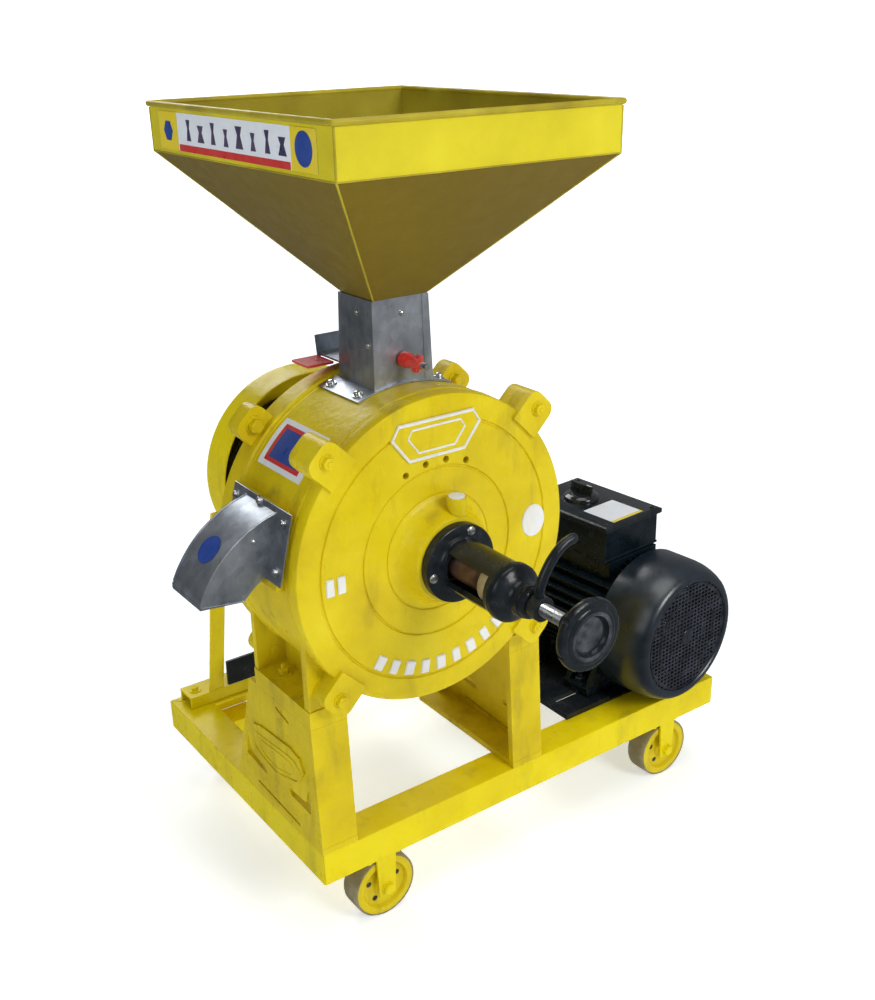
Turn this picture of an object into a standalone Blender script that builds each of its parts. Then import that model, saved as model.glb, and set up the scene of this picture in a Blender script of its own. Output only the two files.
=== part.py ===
"""Vertical disc stone flour mill on a castor frame, with its own motor and belt drive.

Every size below is in millimetres in the mill's own axes: X runs to the right along the front
rail from the spindle, Y runs to the back from the front face of the frame, and Z is height
above the floor. make() moves the finished shape so that the whole machine is centred on the
world origin and turns it into metres.
"""
import math

import bmesh
import bpy
from mathutils import Vector

for leftover in list(bpy.data.objects):
    bpy.data.objects.remove(leftover)

# ---------------------------------------------------------------- driving dimensions
SHIFT_X = 136.15
SHIFT_Y = 97.75
GAP = 0.3
BIG = 48

FRAME_LEFT = -192.0
FRAME_RIGHT = 571.0
FRAME_DEPTH = 496.0
RAIL_H = 50.0
RAIL_W = 55.0
RAIL_T = 5.0
FRAME_BOTTOM = 106.0
FRAME_TOP = FRAME_BOTTOM + RAIL_H

WHEEL_R = 50.0
WHEEL_W = 36.0
CASTOR_X = (-90.0, 471.0)
CASTOR_Y = (27.0, FRAME_DEPTH - 27.0)

SPINDLE_Z = 557.0
DRUM_R = 210.0
DRUM_INNER_R = 193.0
DRUM_FRONT = 8.0
DRUM_BACK = 161.0
COVER_FACE = -12.4
LUG_R = 227.5
LUG_W = 48.0
STONE_R = 177.5
VENT_R = 124.0

STAND_W = 55.0
STAND_TOP = 348.0
FOOT_TOP = 374.0

NECK_TOP = 877.0
NECK_CY = 97.0
HOPPER_W = 380.0
HOPPER_D = 448.0
HOPPER_RIM = 1108.0
HOPPER_BAND = 1048.0
HOPPER_YAW = math.radians(-0.5)
HOPPER_CX = -2.0

PULLEY_FRONT = 318.0
PULLEY_W = 40.0
MILL_PULLEY_R = 125.0
MOTOR_PULLEY_R = 50.0
BELT_PITCH_Y = 19.0

MOTOR_YAW = math.radians(4.5)
MOTOR_X = 442.6
MOTOR_Z = 278.0
MOTOR_PIVOT = (MOTOR_X, PULLEY_FRONT + PULLEY_W / 2, MOTOR_Z)
MOTOR_FRONT = -368.0
MOTOR_REAR = -38.0
COWL_R = 117.0
COWL_REAR = -274.0

# ---------------------------------------------------------------- materials
PAINTS = {
    "yellow_enamel": ((0.72, 0.62, 0.02, 1.0), 0.35, 0.0),
    "olive_yellow_enamel": ((0.42, 0.36, 0.03, 1.0), 0.35, 0.0),
    "black_enamel": ((0.012, 0.014, 0.016, 1.0), 0.35, 0.0),
    "motor_black": ((0.01, 0.02, 0.025, 1.0), 0.4, 0.0),
    "galvanised_sheet": ((0.62, 0.64, 0.66, 1.0), 0.35, 0.9),
    "bright_steel": ((0.75, 0.75, 0.74, 1.0), 0.25, 1.0),
    "dark_steel": ((0.20, 0.16, 0.13, 1.0), 0.5, 0.8),
    "cast_iron": ((0.12, 0.12, 0.12, 1.0), 0.6, 0.6),
    "emery_stone": ((0.55, 0.52, 0.47, 1.0), 0.9, 0.0),
    "belt_rubber": ((0.02, 0.02, 0.02, 1.0), 0.8, 0.0),
    "red_plastic": ((0.70, 0.04, 0.02, 1.0), 0.4, 0.0),
    "black_plastic": ((0.02, 0.02, 0.02, 1.0), 0.3, 0.0),
}


def material(name):
    found = bpy.data.materials.get(name)
    if found:
        return found
    colour, rough, metal = PAINTS[name]
    made = bpy.data.materials.new(name)
    made.use_nodes = True
    shader = made.node_tree.nodes["Principled BSDF"]
    shader.inputs["Base Color"].default_value = colour
    shader.inputs["Roughness"].default_value = rough
    shader.inputs["Metallic"].default_value = metal
    made.diffuse_color = colour
    return made


# ---------------------------------------------------------------- shape helpers
def blank():
    return bmesh.new()


def link(bm, name):
    bmesh.ops.recalc_face_normals(bm, faces=bm.faces)
    mesh = bpy.data.meshes.new(name)
    bm.to_mesh(mesh)
    bm.free()
    obj = bpy.data.objects.new(name, mesh)
    bpy.context.scene.collection.objects.link(obj)
    return obj


def prism(points, axis, low, high):
    """A flat outline pushed along one axis. The outline holds the other two coordinates in order."""
    def place(p, t):
        if axis == "x":
            return (t, p[0], p[1])
        if axis == "y":
            return (p[0], t, p[1])
        return (p[0], p[1], t)

    bm = blank()
    lower = [bm.verts.new(place(p, low)) for p in points]
    upper = [bm.verts.new(place(p, high)) for p in points]
    bm.faces.new(lower)
    bm.faces.new(list(reversed(upper)))
    for i in range(len(points)):
        j = (i + 1) % len(points)
        bm.faces.new((lower[i], upper[i], upper[j], lower[j]))
    return link(bm, "shape")


def box(x0, x1, y0, y1, z0, z1):
    return prism([(x0, y0), (x1, y0), (x1, y1), (x0, y1)], "z", z0, z1)


def loft(loops, closed=False):
    """Skin over equal-length loops of points. The ends get caps, unless the loops close on themselves."""
    bm = blank()
    rows = [[bm.verts.new(p) for p in loop] for loop in loops]
    count = len(rows[0])
    pairs = list(zip(rows, rows[1:]))
    if closed:
        pairs.append((rows[-1], rows[0]))
    for low, high in pairs:
        for i in range(count):
            j = (i + 1) % count
            bm.faces.new((low[i], high[i], high[j], low[j]))
    if not closed:
        bm.faces.new(rows[0])
        bm.faces.new(list(reversed(rows[-1])))
    return link(bm, "shape")


def lathe(profile, segments=40, cx=0.0, cz=SPINDLE_Z, phase=0.0):
    """A closed outline of (radius, y) turned about the line through (cx, cz) along Y."""
    bm = blank()
    rings = []
    for radius, y in profile:
        if radius < 1e-6:
            rings.append([bm.verts.new((cx, y, cz))])
            continue
        ring = []
        for i in range(segments):
            a = phase + 2 * math.pi * i / segments
            ring.append(bm.verts.new((cx + radius * math.cos(a), y, cz + radius * math.sin(a))))
        rings.append(ring)
    count = len(rings)
    for k in range(count):
        low, high = rings[k], rings[(k + 1) % count]
        if len(low) == 1 and len(high) == 1:
            continue
        for i in range(segments):
            j = (i + 1) % segments
            if len(low) == 1:
                bm.faces.new((low[0], high[i], high[j]))
            elif len(high) == 1:
                bm.faces.new((low[i], high[0], low[j]))
            else:
                bm.faces.new((low[i], high[i], high[j], low[j]))
    return link(bm, "shape")


def combine(base, others, how):
    for other in others:
        modifier = base.modifiers.new("combine", "BOOLEAN")
        modifier.operation = how
        modifier.solver = "EXACT"
        modifier.object = other
        graph = bpy.context.evaluated_depsgraph_get()
        mesh = bpy.data.meshes.new_from_object(base.evaluated_get(graph))
        base.modifiers.clear()
        old = base.data
        base.data = mesh
        bpy.data.meshes.remove(old)
        bpy.data.objects.remove(other)
    return base


def join(base, *others):
    return combine(base, others, "UNION")


def cut(base, *others):
    return combine(base, others, "DIFFERENCE")


def turned(obj, angle, about_x=0.0, about_z=SPINDLE_Z):
    """Turns a shape about the line through (about_x, about_z) along Y, anticlockwise seen from the front."""
    c, s = math.cos(angle), math.sin(angle)
    for vert in obj.data.vertices:
        dx, dz = vert.co.x - about_x, vert.co.z - about_z
        vert.co.x = about_x + dx * c - dz * s
        vert.co.z = about_z + dx * s + dz * c
    return obj


def swung(obj, angle, about_x, about_y):
    """Turns a shape about the upright line through (about_x, about_y), anticlockwise seen from above."""
    c, s = math.cos(angle), math.sin(angle)
    for vert in obj.data.vertices:
        dx, dy = vert.co.x - about_x, vert.co.y - about_y
        vert.co.x = about_x + dx * c - dy * s
        vert.co.y = about_y + dx * s + dy * c
    return obj


def flipped(obj, about_x=0.0):
    for vert in obj.data.vertices:
        vert.co.x = 2 * about_x - vert.co.x
    obj.data.flip_normals()
    return obj


def world(x, y, z):
    """A point in the mill's own millimetres as world metres."""
    return Vector(((x - SHIFT_X) * 0.001, (y - SHIFT_Y) * 0.001, z * 0.001))


def make(name, obj, paint, pivot=None):
    """Finishes a sub-part. Its origin goes to the pivot, a point on its joint's axis, or to its middle."""
    points = [world(*vert.co) for vert in obj.data.vertices]
    if pivot is None:
        low = Vector([min(p[k] for p in points) for k in range(3)])
        high = Vector([max(p[k] for p in points) for k in range(3)])
        origin = (low + high) / 2
    else:
        origin = world(*pivot)
    origin = Vector([round(c, 5) for c in origin])
    for vert, point in zip(obj.data.vertices, points):
        vert.co = point - origin
    bm = blank()
    bm.from_mesh(obj.data)
    bmesh.ops.remove_doubles(bm, verts=bm.verts, dist=2e-6)
    bmesh.ops.dissolve_degenerate(bm, edges=bm.edges, dist=1e-6)
    bmesh.ops.triangulate(bm, faces=bm.faces)
    bm.to_mesh(obj.data)
    bm.free()
    obj.location = origin
    obj.name = name
    obj.data.name = name
    obj.data.materials.clear()
    obj.data.materials.append(material(paint))
    obj.data.shade_smooth()
    obj.data.set_sharp_from_angle(angle=math.radians(30))
    return obj


def on_motor(obj):
    """Takes a shape drawn with the motor shaft on the spindle line and y = 0 at the motor pulley,
    and sets it on the motor's own slightly turned axis."""
    c, s = math.cos(MOTOR_YAW), math.sin(MOTOR_YAW)
    middle = PULLEY_FRONT + PULLEY_W / 2
    for vert in obj.data.vertices:
        x, y, z = vert.co
        vert.co = (MOTOR_X + x * c - y * s, middle + x * s + y * c, z - SPINDLE_Z + MOTOR_Z)
    return obj


# ---------------------------------------------------------------- castor frame
def rail(name, side):
    """One angle-iron side of the frame, mitred at both ends. Its outer face is the frame's face."""
    section = [
        (0.0, FRAME_BOTTOM),
        (0.0, FRAME_TOP),
        (RAIL_W, FRAME_TOP),
        (RAIL_W, FRAME_TOP - RAIL_T),
        (RAIL_T, FRAME_TOP - RAIL_T),
        (RAIL_T, FRAME_BOTTOM),
    ]
    half = GAP / 2
    loops = []
    for end in (0, 1):
        loop = []
        for d, z in section:
            if side in ("front", "rear"):
                x = FRAME_LEFT + d + half if end == 0 else FRAME_RIGHT - d - half
                y = d if side == "front" else FRAME_DEPTH - d
            else:
                x = FRAME_LEFT + d if side == "left" else FRAME_RIGHT - d
                y = d + half if end == 0 else FRAME_DEPTH - d - half
            loop.append((x, y, z))
        loops.append(loop)
    make(name, loft(loops), "yellow_enamel")


for side in ("front", "rear", "left", "right"):
    rail("frame_rail_" + side, side)

# Cross channel on top of the rear rail, open side down.
channel = prism(
    [(446, 156.3), (446, 177), (488, 177), (488, 156.3), (484, 156.3), (484, 173), (450, 173),
     (450, 156.3)],
    "x",
    -175.0,
    175.0,
)
slots = [box(x - 9, x + 9, 463, 471, 165, 185) for x in (-158.0, 158.0)]
make("cross_channel", cut(channel, *slots), "yellow_enamel")


def guard_post(name, sign):
    """Angle-iron stay that leans forward from the cross channel to the back of the belt guard."""
    loops = []
    for y, z in ((446.5, 177.3), (370.8, 520.0)):
        x = sign * 128.0
        outline = [(-12.5, 0.0), (12.5, 0.0), (12.5, 25.0), (8.5, 25.0), (8.5, 4.0), (-12.5, 4.0)]
        loops.append([(x - sign * dx, y + dy, z) for dx, dy in outline])
    make(name, loft(loops), "yellow_enamel")


guard_post("guard_post_left", -1.0)
guard_post("guard_post_right", 1.0)

bar = prism([(432.9, 189), (431.9, 233), (426.9, 233), (427.9, 189)], "x", -115.0, 115.0)
make("guard_cross_bar", bar, "black_enamel")


# ---------------------------------------------------------------- castors
def castor(tag, cx, cy):
    half = 23.5
    plate = box(cx - 32, cx + 32, cy - half, cy + half, 103.0, FRAME_BOTTOM - GAP)
    cheeks = []
    for sign in (-1, 1):
        y0 = cy + sign * (half - 4) if sign > 0 else cy - half
        outline = [(cx - 13, 38), (cx + 13, 38), (cx + 16, 104), (cx - 16, 104)]
        cheek = prism(outline, "y", y0, y0 + 4)
        hole = lathe([(6.4, y0 - 1), (6.4, y0 + 5), (0, y0 + 5), (0, y0 - 1)], 16, cx, WHEEL_R)
        cheeks.append(cut(cheek, hole))
    make("castor_bracket_" + tag, join(plate, *cheeks), "yellow_enamel")
    w = WHEEL_W / 2
    wheel = lathe(
        [
            (7.2, cy - w), (15, cy - w), (17, cy - w + 7), (33, cy - w + 7), (35, cy - w),
            (WHEEL_R - 1.5, cy - w), (WHEEL_R, cy - w + 1.5), (WHEEL_R, cy + w - 1.5),
            (WHEEL_R - 1.5, cy + w), (35, cy + w), (33, cy + w - 7), (17, cy + w - 7),
            (15, cy + w), (7.2, cy + w),
        ],
        24, cx, WHEEL_R,
    )
    make("castor_wheel_" + tag, wheel, "yellow_enamel", (cx, cy, WHEEL_R))
    axle = lathe(
        [(0, cy - 31), (9.5, cy - 31), (9.5, cy - 24), (6.0, cy - 24), (6.0, cy + 24),
         (9.5, cy + 24), (9.5, cy + 31), (0, cy + 31)],
        12, cx, WHEEL_R,
    )
    make("castor_axle_" + tag, axle, "bright_steel")


for row, cy in zip(("front", "rear"), CASTOR_Y):
    for end, cx in zip(("left", "right"), CASTOR_X):
        castor(row + "_" + end, cx, cy)


# ---------------------------------------------------------------- cast stands
def stand(name, mirror):
    x0 = FRAME_LEFT
    x1 = FRAME_LEFT + STAND_W
    base = box(x0, x1, 0, 244, FRAME_TOP + GAP, FRAME_TOP + 10)
    side = prism([(0, 156.3), (244, 156.3), (180, STAND_TOP), (10, STAND_TOP)], "x", x0, x0 + 9)
    front = prism([(0, 156.3), (10, 156.3), (20, STAND_TOP), (10, STAND_TOP)], "x", x0, x1)
    back = prism([(234, 156.3), (244, 156.3), (180, STAND_TOP), (170, STAND_TOP)], "x", x0, x0 + 24)
    top = prism([(10, 341), (182.3, 341), (180, STAND_TOP), (10, STAND_TOP)], "x", x0, x1)
    plate = prism(
        [(188, 259), (176, 277), (150, 284), (70, 292), (44, 288), (34, 270), (46, 252), (72, 242),
         (112, 230), (150, 234), (176, 242)],
        "x", x0 - 2.5, x0 + 4,
    )
    body = join(base, side, front, back, top, plate)
    openings = [
        [(204, 248), (209, 210), (148, 204), (154, 213), (192, 220)],
        [(84, 219), (80, 210), (26, 208), (29, 246), (38, 222)],
        [(108, 335), (72, 327), (70, 331), (106, 339)],
        [(180, 175), (60, 169), (60, 173), (180, 179)],
    ]
    holes = [prism(points, "x", x0 - 6, x0 + 12) for points in openings]
    body = cut(body, *holes)
    if mirror:
        flipped(body)
    make(name, body, "yellow_enamel")


stand("mill_stand_left", False)
stand("mill_stand_right", True)


# ---------------------------------------------------------------- grinding casing
def lug(y0, y1, inner, outer, width, angle):
    half = width / 2
    block = prism(
        [(inner, SPINDLE_Z - half), (outer - 11, SPINDLE_Z - half), (outer, SPINDLE_Z - half + 11),
         (outer, SPINDLE_Z + half - 11), (outer - 11, SPINDLE_Z + half), (inner, SPINDLE_Z + half)],
        "y", y0, y1,
    )
    return turned(block, angle)


CORNERS = [math.radians(45 + 90 * k) for k in range(4)]


def bolt_hole(radius, y0, y1, angle):
    x = LUG_R * math.cos(angle)
    z = SPINDLE_Z + LUG_R * math.sin(angle)
    return lathe([(radius, y0), (radius, y1), (0, y1), (0, y0)], 12, x, z)


def leg(mirror):
    """Foot casting below the drum: a floor plate with bolt pocket, front and rear webs, inner wall."""
    parts = [
        box(-192, -137, 10, 160.5, STAND_TOP + GAP, FOOT_TOP),
        box(-191, -138, 12, 24, FOOT_TOP - 2, 470),
        box(-191, -138, 150, 159.5, FOOT_TOP - 2, 470),
        box(-147, -139, 14, 158, FOOT_TOP - 3, 440),
    ]
    if mirror:
        for part in parts:
            flipped(part)
    return parts


ring = lathe(
    [(DRUM_INNER_R, DRUM_FRONT), (DRUM_R, DRUM_FRONT), (DRUM_R, 148), (DRUM_R + 4, 151),
     (DRUM_R + 4, DRUM_BACK), (DRUM_INNER_R, DRUM_BACK)],
    BIG,
)
ring = join(ring, *[lug(DRUM_FRONT, 28, 200, 246, LUG_W, a) for a in CORNERS])
ring = join(ring, *leg(False), *leg(True))
pad = prism([(-190, 640), (-197.5, 656), (-222.5, 556), (-190, 548)], "y", 16, 148)
ring = join(ring, pad)
hollow = lathe(
    [(DRUM_INNER_R, DRUM_FRONT - 1), (DRUM_INNER_R, DRUM_BACK + 1), (0, DRUM_BACK + 1), (0, DRUM_FRONT - 1)],
    BIG,
)
inlet = box(-36, 36, 62, 132, 730, 790)
outlet = prism([(-150, 634), (-230, 634), (-230, 578), (-150, 578)], "y", 44, 112)
ring = cut(ring, hollow, inlet, outlet, *[bolt_hole(7.0, DRUM_FRONT - 2, 32, a) for a in CORNERS])
make("mill_casing", ring, "yellow_enamel")

cover = lathe(
    [
        (24, -48.3), (57, -48.3), (61, -40), (66, -26), (79, COVER_FACE), (113.5, COVER_FACE),
        (115.5, COVER_FACE + 2), (117.5, COVER_FACE), (175, COVER_FACE), (177, COVER_FACE + 2),
        (179, COVER_FACE), (206, COVER_FACE), (DRUM_R, COVER_FACE + 4), (DRUM_R, 7.7), (24, 7.7),
    ],
    BIG,
)
cover = join(cover, *[lug(-18, 7.7, 196, 246, LUG_W, a) for a in CORNERS])


def arc_pad(r0, r1, start, end, steps):
    angles = [math.radians(start + (end - start) * i / steps) for i in range(steps + 1)]
    points = [(r1 * math.cos(a), SPINDLE_Z + r1 * math.sin(a)) for a in angles]
    points += [(r0 * math.cos(a), SPINDLE_Z + r0 * math.sin(a)) for a in reversed(angles)]
    return prism(points, "y", COVER_FACE - 4, COVER_FACE + 3)


plaque = prism(
    [(-46, 682), (46, 682), (70, 722), (60, 738), (-60, 738), (-70, 722)],
    "y", COVER_FACE - 4, COVER_FACE + 3,
)
tally = prism([(-170, 540), (-138, 540), (-138, 566), (-170, 566)], "y", COVER_FACE - 4, COVER_FACE + 3)
oval = prism(
    [(159 + 20 * math.cos(k * math.pi / 8), 557 + 24 * math.sin(k * math.pi / 8)) for k in range(16)],
    "y", COVER_FACE - 4, COVER_FACE + 3,
)
cover = join(cover, plaque, arc_pad(152, 172, -128, -52, 12), tally, oval)
vents = []
for degrees in (68, 83, 97.5, 112):
    x = VENT_R * math.cos(math.radians(degrees))
    z = SPINDLE_Z + VENT_R * math.sin(math.radians(degrees))
    vents.append(lathe([(4, -30), (4, 20), (0, 20), (0, -30)], 12, x, z))
cover = cut(cover, *vents, *[bolt_hole(7.0, -30, 20, a) for a in CORNERS])
make("front_cover", cover, "yellow_enamel")

plate = lathe([(30, DRUM_BACK + GAP), (DRUM_R + 2, DRUM_BACK + GAP), (DRUM_R + 2, 188), (DRUM_R - 4, 192),
               (30, 192)], BIG)
plate = join(plate, *[lug(DRUM_BACK + GAP, 188, 196, 246, LUG_W, a) for a in CORNERS])
plate = cut(plate, *[bolt_hole(7.0, DRUM_BACK - 4, 196, a) for a in CORNERS])
make("rear_plate", plate, "yellow_enamel")

for k, a in enumerate(CORNERS):
    x = LUG_R * math.cos(a)
    z = SPINDLE_Z + LUG_R * math.sin(a)
    shape = [(0, -26), (7, -26), (9.5, -24), (9.5, -18.3), (6.5, -18.3), (6.5, 27), (0, 27)]
    make("cover_bolt_%d" % (k + 1), lathe(shape, 12, x, z), "yellow_enamel")

# ---------------------------------------------------------------- stones, spindle and its bearings
make("fixed_stone", lathe([(62, 114), (STONE_R, 114), (STONE_R, 160.8), (62, 160.8)], 40), "emery_stone")
disc = lathe([(62, 70), (STONE_R, 70), (STONE_R, 112.5), (62, 112.5)], 40)
make("running_stone", disc, "emery_stone", (0, 91, SPINDLE_Z))
carrier = lathe([(25.3, 24), (46, 24), (50, 52), (150, 56), (150, 69.7), (25.3, 69.7)], 32)
make("stone_carrier", carrier, "cast_iron", (0, 47, SPINDLE_Z))
shaft = lathe(
    [(0, -126), (18, -126), (20, -124), (20, 22), (25, 22), (25, 300), (22, 300), (22, 364), (0, 364)], 24
)
make("spindle", shaft, "dark_steel", (0, 119, SPINDLE_Z))
housing = lathe(
    [(26, 192.3), (80, 192.3), (80, 206), (56, 210), (52, 288), (56, 290), (56, 304), (26, 304)], 28
)
make("bearing_housing", housing, "yellow_enamel")


def groove_profile(outer, hub, bore, front, width, web):
    """Two-groove vee pulley outline, from the bore on the front side round to the bore on the back."""
    middle = front + width / 2
    points = [(bore, front + 2), (hub, front + 2), (hub, middle - web / 2)]
    if outer - 18 > hub + 6:
        points += [(outer - 20, middle - web / 2), (outer - 20, front)]
    else:
        points = [(bore, front)]
    points.append((outer, front))
    for centre in (middle - BELT_PITCH_Y / 2, middle + BELT_PITCH_Y / 2):
        points += [(outer, centre - 7.5), (outer - 13, centre - 5)]
        points += [(outer - 13, centre + 5), (outer, centre + 7.5)]
    points.append((outer, front + width))
    if outer - 18 > hub + 6:
        points += [(outer - 20, front + width), (outer - 20, middle + web / 2), (hub, middle + web / 2)]
        points += [(hub, front + width - 2), (bore, front + width - 2)]
    else:
        points.append((bore, front + width))
    return points


wheel = lathe(groove_profile(MILL_PULLEY_R, 38, 22.3, PULLEY_FRONT, PULLEY_W, 12), 32)
make("mill_pulley", wheel, "cast_iron", (0, 338, SPINDLE_Z))


def belt(name, offset):
    """Vee belt round the mill pulley and the slightly turned motor pulley."""
    c, s = math.cos(MOTOR_YAW), math.sin(MOTOR_YAW)
    dx, dz = MOTOR_X, MOTOR_Z - SPINDLE_Z
    length = math.hypot(dx, dz)
    along = math.atan2(dz, dx)
    spread = math.acos((MILL_PULLEY_R - MOTOR_PULLEY_R) / length)
    middle = PULLEY_FRONT + PULLEY_W / 2
    section = [(-0.5, -6.3), (-0.5, 6.3), (-9.4, 4.5), (-9.4, -4.5)]
    loops = []
    steps = 22
    for i in range(steps + 1):
        a = along + spread + (2 * math.pi - 2 * spread) * i / steps
        loop = []
        for r, w in section:
            reach = MILL_PULLEY_R + r
            loop.append((reach * math.cos(a), middle + offset + w, SPINDLE_Z + reach * math.sin(a)))
        loops.append(loop)
    steps = 10
    for i in range(steps + 1):
        a = along - spread + 2 * spread * i / steps
        loop = []
        for r, w in section:
            u = (MOTOR_PULLEY_R + r) * math.cos(a)
            v = offset + w
            loop.append((MOTOR_X + u * c - v * s, middle + u * s + v * c,
                         MOTOR_Z + (MOTOR_PULLEY_R + r) * math.sin(a)))
        loops.append(loop)
    make(name, loft(loops, closed=True), "belt_rubber")


belt("v_belt_front", -BELT_PITCH_Y / 2)
belt("v_belt_rear", BELT_PITCH_Y / 2)

# Round belt guard: a shallow pan, closed at the back, cut away where the belts leave for the motor.
GUARD_X, GUARD_Z, GUARD_R = 8.0, 573.0, 150.0
pan = lathe(
    [(GUARD_R - 2, 312), (GUARD_R, 312), (GUARD_R, 370), (0, 370), (0, 368), (GUARD_R - 2, 368)],
    56, GUARD_X, GUARD_Z,
)
gate = []
for degrees in range(-104, 41, 12):
    a = math.radians(degrees)
    gate.append((GUARD_X + 175 * math.cos(a), GUARD_Z + 175 * math.sin(a)))
window = prism([(GUARD_X, GUARD_Z)] + gate, "y", 300, 366)
make("belt_guard", cut(pan, window), "yellow_enamel")

# ---------------------------------------------------------------- stone adjuster
tube = lathe(
    [(27.5, -158), (35, -158), (35, -66), (38, -62.6), (49, -62.6), (52.6, -59), (52.6, -48.6),
     (27.5, -48.6)],
    32,
)
points = []
for degrees in range(137, 213, 15):
    a = math.radians(degrees)
    points.append((45 * math.cos(a), SPINDLE_Z + 45 * math.sin(a)))
window = prism([(0.0, SPINDLE_Z)] + points, "y", -150, -70)
make("adjuster_housing", cut(tube, window), "black_enamel")
bearing = lathe([(0, -146), (22, -146), (26.5, -142), (26.5, -127), (0, -127)], 32)
make("thrust_bearing", bearing, "bright_steel")
cap = lathe(
    [(9.3, -158.3), (37.3, -158.3), (37.3, -169), (34, -173), (24, -180), (20, -185), (20, -202), (17, -205),
     (9.3, -205)], 24
)
make("adjuster_cap", cap, "black_enamel")
screw = lathe([(0, -152.5), (6, -152.5), (8.5, -155), (8.5, -259.7), (0, -259.7)], 16)
make("adjusting_screw", screw, "bright_steel", (0, -206, SPINDLE_Z))

eye = lathe([(9.3, -222), (15.5, -222), (15.5, -206), (9.3, -206)], 24)
path = [(0, 570.5), (-1, 574), (4, 591), (13, 607), (22, 618), (34, 627), (45, 631.5), (53, 630)]
loops = []
for i, (x, z) in enumerate(path):
    before = path[max(i - 1, 0)]
    after = path[min(i + 1, len(path) - 1)]
    tangent = Vector((after[0] - before[0], 0, after[1] - before[1])).normalized()
    normal = Vector((-tangent.z, 0, tangent.x))
    radius = 5.0 if i in (0, len(path) - 1) else 6.6
    loop = []
    for k in range(12):
        a = 2 * math.pi * k / 12
        offset = normal * radius * math.cos(a) + Vector((0, radius * math.sin(a), 0))
        loop.append(Vector((x, -214, z)) + offset)
    loops.append(loop)
make("lock_lever", join(eye, loft(loops)), "black_enamel", (0, -214, SPINDLE_Z))

wheel = lathe(
    [
        (0, -260), (13, -260), (14, -288), (38, -288), (42, -290), (44, -293), (44, -299), (41, -303),
        (35, -303), (31, -304.5), (27, -303), (22, -297), (0, -297),
    ],
    32,
)
notches = []
for k in range(6):
    a = math.radians(20 + 60 * k)
    x = 47 * math.cos(a)
    z = SPINDLE_Z + 47 * math.sin(a)
    notches.append(lathe([(5, -310), (5, -280), (0, -280), (0, -310)], 10, x, z))
make("handwheel", cut(wheel, *notches), "black_enamel", (0, -285, SPINDLE_Z))

circle = [(math.cos(k * math.pi / 8), math.sin(k * math.pi / 8)) for k in range(16)]
cup = prism([(12.5 + 11 * a, -37 + 11 * b) for a, b in circle], "z", 609, 640)
boss = lathe(
    [(57.5, -50), (61.5, -40), (66.5, -26), (79.8, COVER_FACE - 0.3), (0, COVER_FACE - 0.3), (0, -50)],
    BIG,
)
cup = cut(cup, boss)
make("grease_cup", cup, "yellow_enamel")

# ---------------------------------------------------------------- feed neck, gate and hopper
def rect(cx, cy, hx, hy, z):
    return [(cx - hx, cy - hy, z), (cx + hx, cy - hy, z), (cx + hx, cy + hy, z), (cx - hx, cy + hy, z)]


SHEET = 2.0
outer = loft([rect(0, NECK_CY, 45, 43, 745), rect(0, NECK_CY, 42, 40, NECK_TOP)])
lower = rect(0, NECK_CY, 45 - SHEET, 43 - SHEET, 740)
upper = rect(0, NECK_CY, 42 - SHEET, 40 - SHEET, NECK_TOP + 5)
inner = loft([lower, upper])
curve = [math.radians(70 + 5 * i) for i in range(9)]
under = DRUM_R + 0.6
over = under + 2.2
saddle = prism(
    [(over * math.cos(a), SPINDLE_Z + over * math.sin(a)) for a in curve]
    + [(under * math.cos(a), SPINDLE_Z + under * math.sin(a)) for a in reversed(curve)],
    "y", 50, 146,
)
drum_space = lathe([(under, 30), (under, 170), (0, 170), (0, 30)], BIG)
neck = join(outer, saddle)
screw_hole = lathe([(5.4, 40), (5.4, 70), (0, 70), (0, 40)], 16, 0, 799)
neck = cut(neck, inner, drum_space, box(-40, 40, 130, 150, 779.5, 784.5), screw_hole)
make("feed_neck", neck, "galvanised_sheet")

gate = prism(
    [(64, 780.5), (204, 780.5), (204, 777), (206, 777), (210, 806), (208, 806), (204.2, 783.5), (64, 783.5)],
    "x", -38, 38,
)
make("feed_gate", gate, "galvanised_sheet")
make("gate_grip", box(-78, -38.4, 161, 204, 776.5, 780.2), "red_plastic")

stem = lathe(
    [(0, 64), (5, 64), (5, 53.6), (10, 53.6), (10, 38), (7, 34), (5, 14), (5, 2), (0, 2)],
    16, 0, 799,
)
wing = loft([
    [(-4, 18, 799 - 13), (4, 18, 799 - 13), (4, 32, 799 - 13), (-4, 32, 799 - 13)],
    [(-4, 16, 799 + 13), (4, 16, 799 + 13), (4, 30, 799 + 13), (-4, 30, 799 + 13)],
])
make("wing_knob", turned(join(stem, wing), math.radians(-25), 0, 799), "red_plastic", (0, 30, 799))

hx, hy = HOPPER_W / 2, HOPPER_D / 2
cy = 95.0
t = SHEET
loops = [
    rect(0, cy - 2, 40, 37, NECK_TOP + GAP),
    rect(HOPPER_CX, cy, hx, hy, HOPPER_BAND),
    rect(HOPPER_CX, cy, hx, hy, HOPPER_RIM - 7),
    rect(HOPPER_CX, cy, hx + 4, hy + 4, HOPPER_RIM - 6),
    rect(HOPPER_CX, cy, hx + 5, hy + 5, HOPPER_RIM - 3),
    rect(HOPPER_CX, cy, hx + 3, hy + 3, HOPPER_RIM),
    rect(HOPPER_CX, cy, hx - t, hy - t, HOPPER_RIM),
    rect(HOPPER_CX, cy, hx - t, hy - t, HOPPER_BAND + 1),
    rect(0, cy - 2, 40 - t, 37 - t, NECK_TOP + GAP),
]
make("hopper", swung(loft(loops, closed=True), HOPPER_YAW, 0, cy), "olive_yellow_enamel")

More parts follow.
